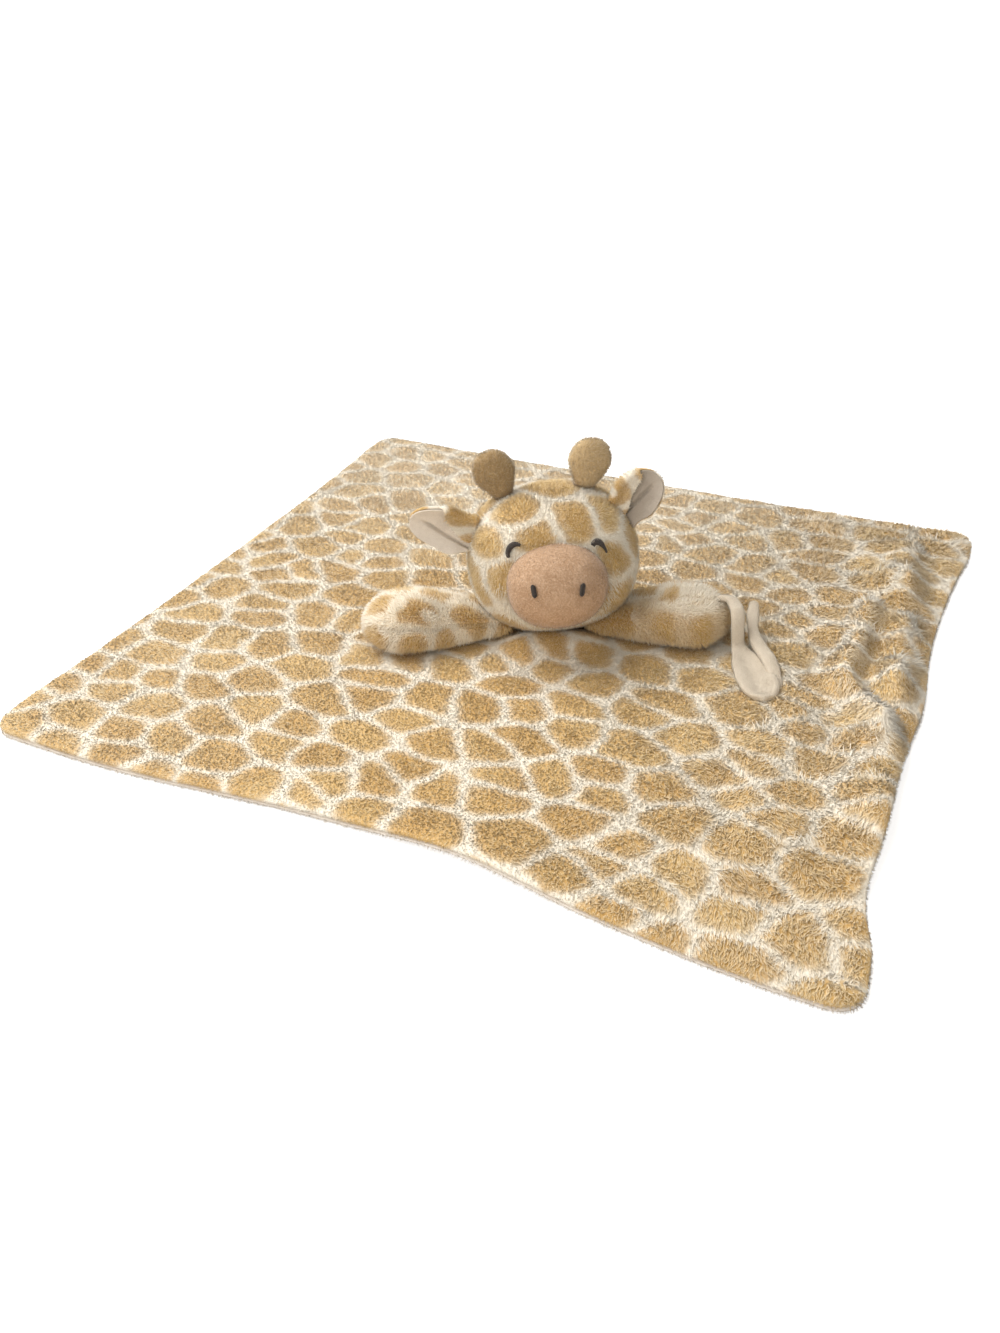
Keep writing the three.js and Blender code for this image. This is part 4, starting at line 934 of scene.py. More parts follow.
def plush_form(name, surface, cloth, place, body, nodes, material, spacing, length, width, lean, comb, seed,
               chosen=None, evenness=0.6):
    """A plush skin with its pile, placed, riding on a body if one is named, standing for its CAD nodes. The
    pile's sizes are in mm, its lean is in degrees, and its comb is a direction in the form's own frame."""
    placed = moved(surface, place)
    piece = make_piece(name, placed.points, placed.faces, placed.flat_map, cloth, material)
    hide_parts(*nodes)
    spacing = spacing * 1
    comb = place[:3, :3] @ np.asarray(comb, float)
    parts = tufts(placed, cloth, spacing, length, width, np.radians(lean), comb, seed, chosen, evenness)
    pile = make_pile(name + "_pile", parts, material)
    for made in (piece, *pile) if body else ():
        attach(made, body)
    return piece, pile


head_rings, head_low, head_high = rounded_form(HEAD_HALF, HEAD_POWER, 90, 140, -HEAD_PILE)
groove = MUZZLE_GROOVE * bump(from_head_to_muzzle(head_rings)[1] - GROOVE_MIDDLE, GROOVE_WIDTH)
lumps = HEAD_LUMPS * noise(head_rings, HEAD_LUMP_SIZE, 71) - groove
head_surface = skin(head_rings + lumps[..., None] * unit(head_rings), head_low, head_high)
head_seeds = far_from(scattered_seeds(HEAD_HALF, 26, 3), FACE_SEEDS, 19)
head_cloth = giraffe_print(head_surface.points, head_seeds, 81, HEAD_LINE_HALF_WIDTH, FACE_PALE)
head_cloth[:, 1] *= HEAD_TONE
head_skin, _ = plush_form("head", head_surface, head_cloth, HEAD, "head", ["head_cover", "head_stuffing"],
                          printed_plush, spacing=0.72, length=2.0, width=0.65, lean=50,
                          comb=(0, -0.4, -0.6), seed=91)

# %% [markdown]
# ## The muzzle
#
# The muzzle is a peach velour ball let into the face. Its nap is too short to stand up, so its bump carries
# it, and a thin fuzz at its rim keeps the outline soft.

# %% Muzzle
MUZZLE_LUMPS, MUZZLE_LUMP_SIZE, MUZZLE_GRAIN, MUZZLE_GRAIN_SIZE = 0.3, 12, 0.06, 1.2
muzzle_rings, muzzle_low, muzzle_high = rounded_form(MUZZLE_HALF, MUZZLE_POWER, 70, 110, -1.0)
lumps = MUZZLE_LUMPS * noise(muzzle_rings, MUZZLE_LUMP_SIZE, 72)
lumps = lumps + MUZZLE_GRAIN * noise(muzzle_rings, MUZZLE_GRAIN_SIZE, 73)
muzzle_rings = muzzle_rings + lumps[..., None] * unit(muzzle_rings)
muzzle_surface = skin(muzzle_rings, muzzle_low, muzzle_high)
muzzle_cloth = plain_cloth(muzzle_surface.points)
muzzle_skin, _ = plush_form("muzzle", muzzle_surface, muzzle_cloth, MUZZLE, "head",
                            ["muzzle_cover", "muzzle_stuffing"], muzzle_velour, spacing=0.7,
                            length=0.7, width=0.4, lean=45, comb=(0, -0.2, -0.8), seed=95)

# %% [markdown]
# Where the muzzle is let in, its seam pushes the head's pile up into a longer cream ruff round its lower
# half. The ruff stands on the head's faces that lie close round the muzzle.

# %% Ruff round the muzzle
RUFF_REACH, RUFF_LENGTH, RUFF_DYE = 0.3, 3.2, 0.25
near_muzzle, nearness = from_head_to_muzzle(head_surface.points[head_surface.faces].mean(1))
low_half = ramp((4 - near_muzzle[:, 2]) / 10) * (near_muzzle[:, 1] < 12)
on_ruff = ramp((1 + RUFF_REACH - nearness) / 0.2) * ramp((nearness - 0.98) / 0.03) * low_half
ruff_cloth = head_cloth * [RUFF_DYE, 1, 1]
placed_head = moved(head_surface, HEAD)
ruff_comb = HEAD[:3, :3] @ np.array([0, -0.5, -0.7])
ruff_tufts = tufts(placed_head, ruff_cloth, spacing=0.8, length=RUFF_LENGTH, width=0.65, lean=np.radians(42),
                   comb=ruff_comb, seed=97, chosen=on_ruff)
ruff = make_pile("muzzle_ruff", ruff_tufts, printed_plush)
for piece in ruff:
    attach(piece, "head")

# %% [markdown]
# ## Stitched eyes and nostrils
#
# Satin stitch is a row of threads laid side by side across a bar. Each thread is a short tube over the bar,
# from one edge to the other, so a bar of width w and height h is a row of half ellipses. The eye's bar
# follows an arch, thick at its top and thin at its outer foot.

# %% Satin stitch
THREAD_PITCH, THREAD_RADIUS, THREAD_STEPS, THREAD_SIDES = 0.3, 0.2, 9, 5
STITCH_HALF_WIDTH, STITCH_HEIGHT, STITCH_SINK = 1.15, 0.8, 0.05


def smooth_line(points, count):
    """Points at even steps along a line through the given ones, by a cubic through each four neighbours."""
    points = np.asarray(points, float)
    padded = np.concatenate([[2 * points[0] - points[1]], points, [2 * points[-1] - points[-2]]])
    t = np.linspace(0, len(points) - 1, 40 * len(points))
    i = np.minimum(t.astype(int), len(points) - 2)
    s = (t - i)[:, None]
    a, b, c, d = (padded[i + k] for k in range(4))
    line = 0.5 * (2 * b + (c - a) * s + (2 * a - 5 * b + 4 * c - d) * s**2 + (3 * b - a - 3 * c + d) * s**3)
    length = np.concatenate([[0], np.cumsum(np.linalg.norm(np.diff(line[:, :3], axis=0), axis=1))])
    even = np.linspace(0, length[-1], count)
    return np.stack([np.interp(even, length, line[:, k]) for k in range(line.shape[1])], -1), length[-1]


def satin_bar(name, centres, half_widths, normals, height, place, body, node):
    """Threads across a bar: thread k stands at centre k, and each is a tube along a half ellipse whose long
    half is the bar's half width and whose short half is the bar's height."""
    along = unit(np.gradient(centres, axis=0))
    across = unit(np.cross(along, normals))
    bend = np.linspace(0, np.pi, THREAD_STEPS)
    sides = 2 * np.pi * np.arange(THREAD_SIDES) / THREAD_SIDES
    centre = (centres[:, None] + across[:, None] * (half_widths[:, None] * np.cos(bend))[..., None]
              + normals[:, None] * (height * np.sin(bend))[None, :, None])
    outward = unit(across[:, None] * np.cos(bend)[None, :, None] + normals[:, None] * np.sin(bend)[None, :, None])
    ring = (centre[:, :, None] + THREAD_RADIUS * (outward[:, :, None] * np.cos(sides)[None, None, :, None]
                                                  + along[:, None, None] * np.sin(sides)[None, None, :, None]))
    points, faces, flat_map, start = [], [], [], 0
    for thread in range(len(centres)):
        sink = STITCH_SINK * normals[thread]
        surface = skin(ring[thread], centre[thread, 0] - sink, centre[thread, -1] - sink)
        points.append(surface.points)
        faces.append(surface.faces + start)
        flat_map.append((surface.flat_map + [0, thread]) / [1, len(centres)])
        start += len(surface.points)
    whole = moved(Surface(np.concatenate(points), np.concatenate(faces), np.concatenate(flat_map)), place)
    piece = make_piece(name, whole.points, whole.faces, whole.flat_map, plain_cloth(whole.points), black_thread)
    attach(piece, body)
    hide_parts(node)


EYE_WIDTH, EYE_RISE = 6.7, 0.1
# Where each eye's middle lies in the head's frame, across and up, and how high its arch is
EYE_PLACES = {"left": (21.3, 18.2, 6.3), "right": (-18.9, 20.8, 5.6)}
# Along each arch from its inner foot: shares of the width and the height, and of the stitch's half width
EYE_ARCH_SHARES = {
    "left": [(-0.45, 0.22, 0.85), (-0.3, 0.38, 1.15), (-0.06, 0.38, 1.25), (0.16, 0.2, 1.1), (0.32, -0.04, 0.7),
             (0.43, -0.28, 0.45), (0.5, -0.5, 0.32)],
    "right": [(-0.5, 0.4, 0.38), (-0.3, 0.48, 0.8), (0, 0.44, 1.1), (0.25, 0.24, 1.2), (0.4, 0, 1.05),
              (0.46, -0.27, 0.85), (0.42, -0.5, 0.5)]}

for side, sign in (("left", 1), ("right", -1)):
    eye_x, eye_z, eye_height = EYE_PLACES[side]
    arch = np.array([(eye_x + sign * out * EYE_WIDTH, 0, eye_z + up * eye_height, thick)
                     for out, up, thick in EYE_ARCH_SHARES[side]])
    _, length = smooth_line(arch, 2)
    line, _ = smooth_line(arch, int(length / THREAD_PITCH))
    used = (np.abs(line[:, [0, 2]] / HEAD_HALF[[0, 2]]) ** HEAD_POWER).sum(1)
    line[:, 1] = -HEAD_HALF[1] * (1 - used) ** (1 / HEAD_POWER)
    outward = normals_of(line[:, :3], HEAD_HALF, HEAD_POWER)
    satin_bar(f"{side}_eye", line[:, :3] + EYE_RISE * outward, STITCH_HALF_WIDTH * line[:, 3], outward,
              STITCH_HEIGHT, HEAD, "head", f"{side}_eye_stitching")

NOSTRIL_LENGTH = 5.6
# How far a nostril lies from the muzzle's middle and above it, and its lean in degrees
NOSTRILS = {"left": (10.7, 4.5, 14), "right": (11.8, 6, 6)}
for side, sign in (("left", 1), ("right", -1)):
    share = np.linspace(-0.5, 0.5, int(NOSTRIL_LENGTH / THREAD_PITCH))
    nostril_x, nostril_z, lean = NOSTRILS[side]
    x = sign * (nostril_x + share * NOSTRIL_LENGTH * np.sin(np.radians(lean)))
    z = nostril_z + share * NOSTRIL_LENGTH * np.cos(np.radians(lean))
    left_over = 1 - np.abs(x / MUZZLE_HALF[0]) ** MUZZLE_POWER - np.abs(z / MUZZLE_HALF[2]) ** MUZZLE_POWER
    line = np.stack([x, -MUZZLE_HALF[1] * left_over ** (1 / MUZZLE_POWER), z], -1)
    outward = normals_of(line, MUZZLE_HALF, MUZZLE_POWER)
    round_ends = np.sqrt(np.clip(1 - (2 * np.abs(share)) ** 6, 0.1, 1))
    satin_bar(f"{side}_nostril", line, STITCH_HALF_WIDTH * round_ends, outward, STITCH_HEIGHT, MUZZLE, "head",
              f"{side}_nostril_stitching")

# %% [markdown]
# ## The horns
#
# Each horn is a flat stuffed paddle of short brown plush, with a seam round its rim. Rings of ovals up its height give
# the paddle, and the seam is a shallow groove along both narrow sides. The foot goes on a little into the head, as a
# sewn one does, so that no gap opens under it. The right horn takes a deeper tone than the left: painted shade.

# %% Horns
HORN_HEIGHT, HORN_HALF_WIDTH, HORN_HALF_THICKNESS, HORN_BASE_HALF_WIDTH = 24, 11, 6, 7
HORN_X, HORN_SHIFT, HORN_Y, HORN_LEAN = 20, -1, 8, 17
HORN_SUNK, HORN_PILE, HORN_ROWS, HORN_SIDES = 2.6, 1.0, 46, 56
# The seam's groove as a share of the half width, its width, and the share of the height that flares
HORN_GROOVE, HORN_GROOVE_WIDTH, HORN_FLARE_SHARE = 0.06, 0.16, 0.55
# Each horn's tone: painted shade, deep on the right horn and slight on the left
HORN_PAINTED_SHADE = {"left": 0.25, "right": 0.9}
HORN_PROFILE_SHARES = np.array([(0, 0, 0), (0.05, 0.62, 0.6), (0.16, 0.84, 0.92), (0.4, 1, 1), (0.6, 1, 1),
                                (0.78, 0.86, 0.88), (0.92, 0.55, 0.62), (1, 0, 0)])


def horn_surface(offset):
    """Rings of ovals: the profile table gives their half sizes as shares, smoothed between its rows."""
    rows, _ = smooth_line(HORN_PROFILE_SHARES * [HORN_HEIGHT, HORN_HALF_WIDTH, HORN_HALF_THICKNESS], HORN_ROWS)
    height = rows[1:-1, 0:1]
    narrow = HORN_BASE_HALF_WIDTH / HORN_HALF_WIDTH
    width = (rows[1:-1, 1:2] + offset) * (narrow + (1 - narrow) * ramp(height / HORN_HEIGHT / HORN_FLARE_SHARE))
    thick = rows[1:-1, 2:3] + offset
    turn = 2 * np.pi * np.arange(HORN_SIDES)[None] / HORN_SIDES
    groove = 1 - HORN_GROOVE * bump(np.sin(turn), HORN_GROOVE_WIDTH)
    sunk = HORN_SUNK * (1 - height / HORN_HEIGHT) ** 2
    rings = np.stack([width * groove * np.cos(turn), thick * np.sin(turn),
                      height - sunk - HORN_HALF_THICKNESS + 0 * turn], -1)
    foot = -HORN_HALF_THICKNESS - HORN_SUNK - offset
    return skin(rings, (0, 0, foot), (0, 0, HORN_HEIGHT - HORN_HALF_THICKNESS + offset))


def head_top(x, y, offset):
    """The point of the head's top over x and y, with its half sizes let out by the offset."""
    half = HEAD_HALF + offset
    left_over = 1 - abs(x / half[0]) ** HEAD_POWER - abs(y / half[1]) ** HEAD_POWER
    return Vector((x, y, half[2] * left_over ** (1 / HEAD_POWER)))


for side, sign in (("left", 1), ("right", -1)):
    seat = head_top(sign * HORN_X + HORN_SHIFT, HORN_Y, SEAM_GAP)
    lean = np.radians(sign * HORN_LEAN)
    foot = seat + HORN_HALF_THICKNESS * Vector((np.sin(lean), 0, np.cos(lean)))
    place = np.array(HEAD_PLACE @ Matrix.Translation(foot) @ Matrix.Rotation(lean, 4, "Y"))
    surface = horn_surface(-HORN_PILE)
    # The horn's tone is its painted shade
    horn_cloth = plain_cloth(surface.points) + [0, HORN_PAINTED_SHADE[side], 0]
    horn_skin, _ = plush_form(f"{side}_horn", surface, horn_cloth, place, f"{side}_horn",
                              [f"{side}_horn_cover", f"{side}_horn_stuffing"], horn_plush,
                              spacing=0.6, length=1.5, width=0.55, lean=45, comb=(0, -0.2, 0.7), seed=101 + sign)

# %% [markdown]
# ## The ears
#
# An ear is two leaves sewn together, plush behind and velour in front, pinched at the base. The pinch makes
# the ear a cup, creases the velour along its middle, and rolls the printed back over the upper edge near the
# head. Both leaves are bent sheets: across the ear a point goes round a circle, and along it the width
# follows a leaf. The back leaf's path goes on past the edge, round a small roll, and down over the velour.

# %% Ear shape
EAR_BASE_HALF_WIDTH, EAR_CUP_RADIUS, EAR_WIDEST_SHARE = 9, 15, 0.42
EAR_LINING, EAR_BACK = 1.2, 1.2
EAR_SEAT_Y, EAR_SEAT_GAP = -3, 0.4
EAR_JOINT_RADIUS = EAR_CUP_RADIUS - SEAM_GAP / 2
LIP_CLEAR, EDGE_INSET, RISE_POWER = 0.5, 0.65, 1.3
CREASE_WIDTH = 0.06
THIN_EDGE = 0.35
# Lengths in mm and angles in degrees. The crease starts at its first number and climbs by its second.
# An ear's tone darkens its velour lining: painted shade, deep on the left ear and none on the right
EARS = {
    "left": dict(sign=1, length=25.5, width=12.2, seat=21.7, rise=51.3, forward=17.2, twist=-13.1, trim=0, raised=0,
                 crease=(-0.2, -1.8), depth=1.4, tone=0.9, lip=8, reach=0.85, pile=1.5,
                 pale=[(5, -7, 12, 4), (19, -5, 12, 3)]),
    "right": dict(sign=-1, length=30.4, width=14, seat=18.3, rise=14.9, forward=8, twist=-15, trim=0.32, raised=4.35,
                  crease=(-6.5, 12.2), depth=2.2, tone=0, lip=11, reach=0.47, pile=2.0,
                  pale=[(-18, -7.4, 12.9, 5)])}


def ear_half_width(ear, share):
    """A leaf: from the base it widens smoothly, and from its widest place it rounds off as an ellipse."""
    tip = np.sqrt(np.clip(1 - ((share - EAR_WIDEST_SHARE) / (1 - EAR_WIDEST_SHARE)) ** 2, 0, 1))
    base = EAR_BASE_HALF_WIDTH / ear["width"]
    base = base + (1 - base) * ramp(share / EAR_WIDEST_SHARE)
    return ear["width"] * np.where(share < EAR_WIDEST_SHARE, base, tip)


def ear_middle(ear, share):
    """How far the leaf's middle has risen round the cup: a power of the share."""
    return ear["raised"] * np.clip(share, 0, 1) ** RISE_POWER


def ear_edges(ear, share):
    """The turns, round the cup, of the lower and the upper edge. The lower side is trimmed towards the tip."""
    half = ear_half_width(ear, np.clip(share, 0, 1))
    low = half * (1 - ear["trim"] * ramp((share - 0.1) / 0.6))
    middle = ear_middle(ear, share)
    return (middle - low) / EAR_CUP_RADIUS, (middle + half) / EAR_CUP_RADIUS


def ear_crease(ear, share, turn):
    """How far the middle of both leaves is pushed back: a narrow bell across the ear, along a straight line."""
    start, climb = ear["crease"]
    line = (ear_middle(ear, share) + start + climb * share) / EAR_CUP_RADIUS
    return ear["depth"] * bump(turn - line, CREASE_WIDTH) * ramp((0.86 - share) / 0.25)


def round_cup(ear, share, radius, turn):
    """A point at a share of the length, a radius from the cup's axis and a turn up from its back."""
    return np.stack([ear["sign"] * share * ear["length"], radius * np.cos(turn) - EAR_CUP_RADIUS,
                     radius * np.sin(turn)], -1)


EAR_SHARES = np.concatenate([[-0.12, -0.06], (1 - np.cos(np.linspace(0.12, np.pi, 40))) / 2 * 0.985])
LEAF_STEPS, ROLL_STEPS, LIP_STEPS = 45, 11, 15


def ear_lining(ear):
    """The velour leaf between two radii, thinner towards its edge."""
    across = np.sin(np.linspace(-np.pi / 2, np.pi / 2, 61))
    share, across = np.meshgrid(EAR_SHARES, across, indexing="ij")
    low, high = ear_edges(ear, share)
    turn = low + (high - low) * (across + 1) / 2
    full = np.sqrt(np.clip(1 - across**2, 0, 1)) * np.sqrt(np.clip(1 - share**6, 0, 1))
    thin = THIN_EDGE + (1 - THIN_EDGE) * full
    middle = EAR_JOINT_RADIUS - EAR_LINING / 2 + ear_crease(ear, share, turn)
    front = round_cup(ear, share, middle - EAR_LINING / 2 * thin, turn)
    back = round_cup(ear, share, middle + EAR_LINING / 2 * thin, turn)
    return sheet_between(back, front) if ear["sign"] < 0 else sheet_between(back[:, ::-1], front[:, ::-1])


def ear_back(ear):
    """The printed leaf: up round the back of the cup, through a half circle over the upper edge, and down in
    front for the lip's length, which shrinks as a quarter ellipse. Past the lip the half circle closes up,
    and both edges lie inside the velour's."""
    share = EAR_SHARES[:, None]
    low, high = ear_edges(ear, share)
    past = ramp((share - ear["reach"] + 0.03) / 0.1)
    low = low + EDGE_INSET / EAR_CUP_RADIUS
    high = high - EDGE_INSET / EAR_CUP_RADIUS * past
    back_radius = EAR_JOINT_RADIUS + SEAM_GAP + EAR_BACK / 2
    front_radius = EAR_JOINT_RADIUS - EAR_LINING - LIP_CLEAR - EAR_BACK / 2
    roll_middle, roll = (back_radius + front_radius) / 2, (back_radius - front_radius) / 2
    rolled = 1 - 0.9 * past
    lip = 0.3 + ear["lip"] * np.sqrt(np.clip(1 - (np.clip(share, 0, 1) / ear["reach"]) ** 2, 0, 1))
    turn = low + (high - low) * np.linspace(0, 1, LEAF_STEPS)
    radius = back_radius + ear_crease(ear, share, turn)
    bend = np.pi * rolled * np.linspace(0, 1, ROLL_STEPS + 1)[1:]
    down = lip * np.linspace(0, 1, LIP_STEPS + 1)[1:]
    start = np.pi * rolled - np.pi
    slide = high - down / front_radius
    inward, along = front_radius * (np.cos(slide - high) - 1), front_radius * np.sin(slide - high)
    tuck_r = np.cos(start) * inward - np.sin(start) * along
    tuck_t = np.sin(start) * inward + np.cos(start) * along
    end_r, end_t = roll_middle + roll * np.cos(np.pi * rolled), roll * np.sin(np.pi * rolled)
    flat_r = np.concatenate([radius * np.cos(turn - high), roll_middle + roll * np.cos(bend), end_r + tuck_r], 1)
    flat_t = np.concatenate([radius * np.sin(turn - high), roll * np.sin(bend), end_t + tuck_t], 1)
    facing = np.concatenate([turn - high, bend, start + np.pi + (slide - high)], 1)
    edge = np.minimum(np.arange(flat_r.shape[1]), np.arange(flat_r.shape[1])[::-1])
    full = ramp(edge / 5)[None] * np.sqrt(np.clip(1 - np.clip(share, 0, 1) ** 6, 0, 1))
    thin = THIN_EDGE + (1 - THIN_EDGE) * full
    layers = []
    for offset in (-EAR_BACK / 2, EAR_BACK / 2):
        r = flat_r + offset * thin * np.cos(facing)
        t = flat_t + offset * thin * np.sin(facing)
        layers.append(round_cup(ear, share * np.ones_like(r), np.hypot(r, t), high + np.arctan2(t, r)))
    inner, outer = layers
    return sheet_between(inner[:, ::-1], outer[:, ::-1]) if ear["sign"] < 0 else sheet_between(inner, outer)


def ear_pile_faces(ear, faces):
    """1 for the faces of the printed leaf that carry pile: its outer side, and past the lip's reach only
    where it isn't within three steps of an edge."""
    steps = LEAF_STEPS + ROLL_STEPS + LIP_STEPS - 1
    step = np.arange(steps)[::ear["sign"]]
    share = EAR_SHARES[:-1, None]
    inside = (step >= 3) & (step < LEAF_STEPS - 3)
    chosen = np.zeros(faces)
    chosen[:(len(EAR_SHARES) - 1) * steps] = np.where(share < ear["reach"] - 0.03, step >= 2, inside).ravel()
    return chosen


# %% Ears
# Where the patches of a left ear have their middles, in its own frame, in mm
EAR_SEEDS = ((9, -6, 11), (24, 0, 8), (4, 2, -9), (17, 3, -4), (29, 0, -8))
for side, ear in EARS.items():
    sign = ear["sign"]
    half = HEAD_HALF + EAR_SEAT_GAP
    used = abs(EAR_SEAT_Y / half[1]) ** HEAD_POWER + abs(ear["seat"] / half[2]) ** HEAD_POWER
    seat = Vector((sign * half[0] * (1 - used) ** (1 / HEAD_POWER), EAR_SEAT_Y, ear["seat"]))
    place = np.array(HEAD_PLACE @ Matrix.Translation(seat) @ turned(-sign * ear["forward"], "Z")
                     @ turned(-sign * ear["rise"], "Y") @ turned(ear["twist"], "X"))
    lining = ear_lining(ear)
    # The tone here carries the ear lining's painted shade
    lining_cloth = plain_cloth(lining.points) + [0, ear["tone"], 0]
    plush_form(f"{side}_ear_velour", lining, lining_cloth, place, f"{side}_ear", [f"{side}_ear_lining"],
               ear_velour, spacing=0.65, length=0.6, width=0.32, lean=40, comb=(sign, 0, 0), seed=111)
    back = ear_back(ear)
    ear_seeds = np.array(EAR_SEEDS) * [sign, 1, 1]
    # A second set of seeds, beyond the tip, so that the print has neighbours enough
    ear_seeds = np.concatenate([ear_seeds, ear_seeds + [sign * 60, 0, 0]])
    back_cloth = giraffe_print(back.points, ear_seeds, 121, pale=ear["pale"])
    plush_form(f"{side}_ear_plush", back, back_cloth, place, f"{side}_ear", [f"{side}_ear_back"],
               printed_plush, spacing=0.68, length=ear["pile"], width=0.6, lean=48, comb=(sign * 0.8, 0, 0),
               seed=131, chosen=ear_pile_faces(ear, len(back.faces)))

# %% [markdown]
# ## The arms
#
# Each arm is a stuffed tube that swells into a paw and lies on the blanket. A seam runs along its side from root to
# tip, where the upper and lower halves meet, and the pile parts over it. The root goes on a little under the chin. The
# left arm's front takes more dye below its top: a large patch of the print lies there, and the extra dye is also
# painted shade on that lower side.

# %% Arms
ARM_ROOT_X, ARM_SHIFT, ARM_ROOT_Y = 26, -2, -8.5
# Half widths and heights at the root, the wrist and the paw
ARM_WIDTHS, ARM_HEIGHTS = np.array([11.5, 16.5, 20.5]), np.array([15, 19, 24])
ARM_POWER, ARM_UNDER_POWER, ARM_FORWARD = 2.3, 3.4, 8
ARM_ROWS, ARM_SIDES, FULLNESS_SCALE = 110, 96, 20
# Each row: a share of the length, the shares of root, wrist and paw, and how full the arm is
ARM_SECTION_SHARES = np.array([
    (-0.13, 1, 0, 0, 0.4), (-0.08, 1, 0, 0, 0.8), (0, 1, 0, 0, 1), (0.14, 0.6, 0.4, 0, 1),
    (0.27, 0.05, 0.95, 0, 1), (0.42, 0, 0.6, 0.4, 1), (0.56, 0, 0.12, 0.88, 1), (0.68, 0, 0, 1, 1),
    (0.78, 0, 0, 1, 0.96), (0.87, 0, 0, 1, 0.83), (0.94, 0, 0, 1, 0.62), (0.985, 0, 0, 1, 0.33), (1, 0, 0, 1, 0)])
ARM_SEAM_DEPTH, ARM_SEAM_WIDTH, ARM_LUMPS, ARM_LUMP_SIZE = 0.1, 0.1, 0.45, 13
ARM_PILE, ARM_LINE_HALF_WIDTH, ARM_TONE, ARM_LEAST_DYE, ARM_SEED_GAP = 1.3, 1.1, 0.4, 0.13, 14
# Pale spots and the middles of tan patches are in the arm's own frame, with x from its root to its tip
ARMS = {
    "left": dict(sign=1, length=66.3, seeds=9, seam=118, front_patch_and_shade=0.55,
                 pale=[(47, 1, 30, 9), (56, 2, 28, 7), (21, -12, 22, 4.5)],
                 tan=[(52, -16, 18), (33, -18, 19), (34, -1, 29), (23, 7, 26), (12, -10, 20), (46, 16, 22),
                      (58, 10, 22)]),
    "right": dict(sign=-1, length=68.5, seeds=7, seam=12, front_patch_and_shade=0,
                  pale=[(50, 4, 30, 5), (36, 12, 27, 3.5), (57, 14, 22, 4)],
                  tan=[(59, -3, 27), (42, 9, 28), (31, -7, 27), (15, 11, 22), (44, 19, 12), (62, 9, 12),
                       (28, 18, 12)])}


def arm_surface(offset, length, seam_turn):
    """Rings of rounded ovals along the arm. The table's sizes are smoothed between its rows, with fullness
    scaled so that it counts like a length. The seam is a groove on two opposite sides, and the underside is
    flatter."""
    place, parts, fullness = ARM_SECTION_SHARES[:, 0], ARM_SECTION_SHARES[:, 1:4], ARM_SECTION_SHARES[:, 4]
    sizes = np.column_stack([place * length, parts @ ARM_WIDTHS, parts @ ARM_HEIGHTS, fullness * FULLNESS_SCALE])
    rows, _ = smooth_line(sizes, ARM_ROWS)
    x, width, height, full = (rows[:-1, k:k + 1] for k in range(4))
    full = full / FULLNESS_SCALE
    turn = 2 * np.pi * np.arange(ARM_SIDES)[None] / ARM_SIDES
    half_y, half_z = np.maximum(width * full + offset, 0.2), np.maximum(height / 2 * full + offset, 0.2)
    power = np.where(np.sin(turn) < 0, ARM_UNDER_POWER, ARM_POWER)
    reach = (np.abs(np.cos(turn) / half_y) ** power + np.abs(np.sin(turn) / half_z) ** power) ** (-1 / power)
    reach = reach * (1 - ARM_SEAM_DEPTH * bump(np.sin(turn - np.radians(seam_turn)), ARM_SEAM_WIDTH))
    middle = BLANKET_TOP_Z + SEAM_GAP + height / 2
    rings = np.stack([x + 0 * turn, reach * np.cos(turn), middle + reach * np.sin(turn)], -1)
    rings = rings + ARM_LUMPS * noise(rings, ARM_LUMP_SIZE, 74)[..., None] * [0, 1, 1]
    return skin(rings, rings[0].mean(0), rings[-1].mean(0) + [0.4, 0, 0])


def clear_of_head(surface, place, gap):
    """Points that would lie inside the head, let out by the gap, are moved straight out to its surface."""
    to_head = np.linalg.inv(HEAD) @ place
    points = surface.points @ to_head[:3, :3].T + to_head[:3, 3]
    depth = (np.abs(points / (HEAD_HALF + gap)) ** HEAD_POWER).sum(1) ** (1 / HEAD_POWER)
    points = points / np.minimum(depth, 1)[:, None]
    back = np.linalg.inv(to_head)
    return Surface(points @ back[:3, :3].T + back[:3, 3], surface.faces, surface.flat_map)


for side, arm in ARMS.items():
    sign = arm["sign"]
    turn = -ARM_FORWARD if sign > 0 else 180 + ARM_FORWARD
    root = Matrix.Translation((sign * ARM_ROOT_X + ARM_SHIFT, ARM_ROOT_Y, 0))
    place = np.array(GIRAFFE_PLACE @ root @ turned(turn, "Z"))
    surface = clear_of_head(arm_surface(-ARM_PILE, arm["length"], arm["seam"]), place, 0.2)
    spread_seeds = scattered_seeds(np.array([34, 20, 13]), 15, arm["seeds"]) + [36, 0, 18]
    arm_seeds = far_from(spread_seeds, arm["tan"], ARM_SEED_GAP)
    arm_cloth = giraffe_print(surface.points, arm_seeds, 141 + sign, ARM_LINE_HALF_WIDTH, arm["pale"])
    arm_cloth[:, 1] = ARM_TONE + (1 - ARM_TONE) * arm_cloth[:, 1]
    x, y, z = surface.points.T
    # 1 over the arm's front half: in front of its middle, below its top and past its root
    front = ramp((2 - y) / 5) * ramp((27 - z) / 4) * ramp((x - 14) / 8)
    # The extra dye over the lower front is partly the large patch and partly painted shade
    arm_cloth[:, 0] = np.maximum(arm_cloth[:, 0], ARM_LEAST_DYE + arm["front_patch_and_shade"] * front)
    arm_skin, _ = plush_form(f"{side}_arm", surface, arm_cloth, place, f"{side}_arm",
                             [f"{side}_arm_cover", f"{side}_arm_stuffing"], printed_plush,
                             spacing=0.72, length=3.1, width=0.75, lean=46, comb=(0.6, 0, -0.5), seed=151 + sign,
                             evenness=0.4)

# %% [markdown]
# ## The neck
#
# A short sleeve of the same plush joins head and blanket. It hardly shows at rest. Its foot is sewn to the blanket and
# its top goes into the head. It is fixed in place and rides on no body.

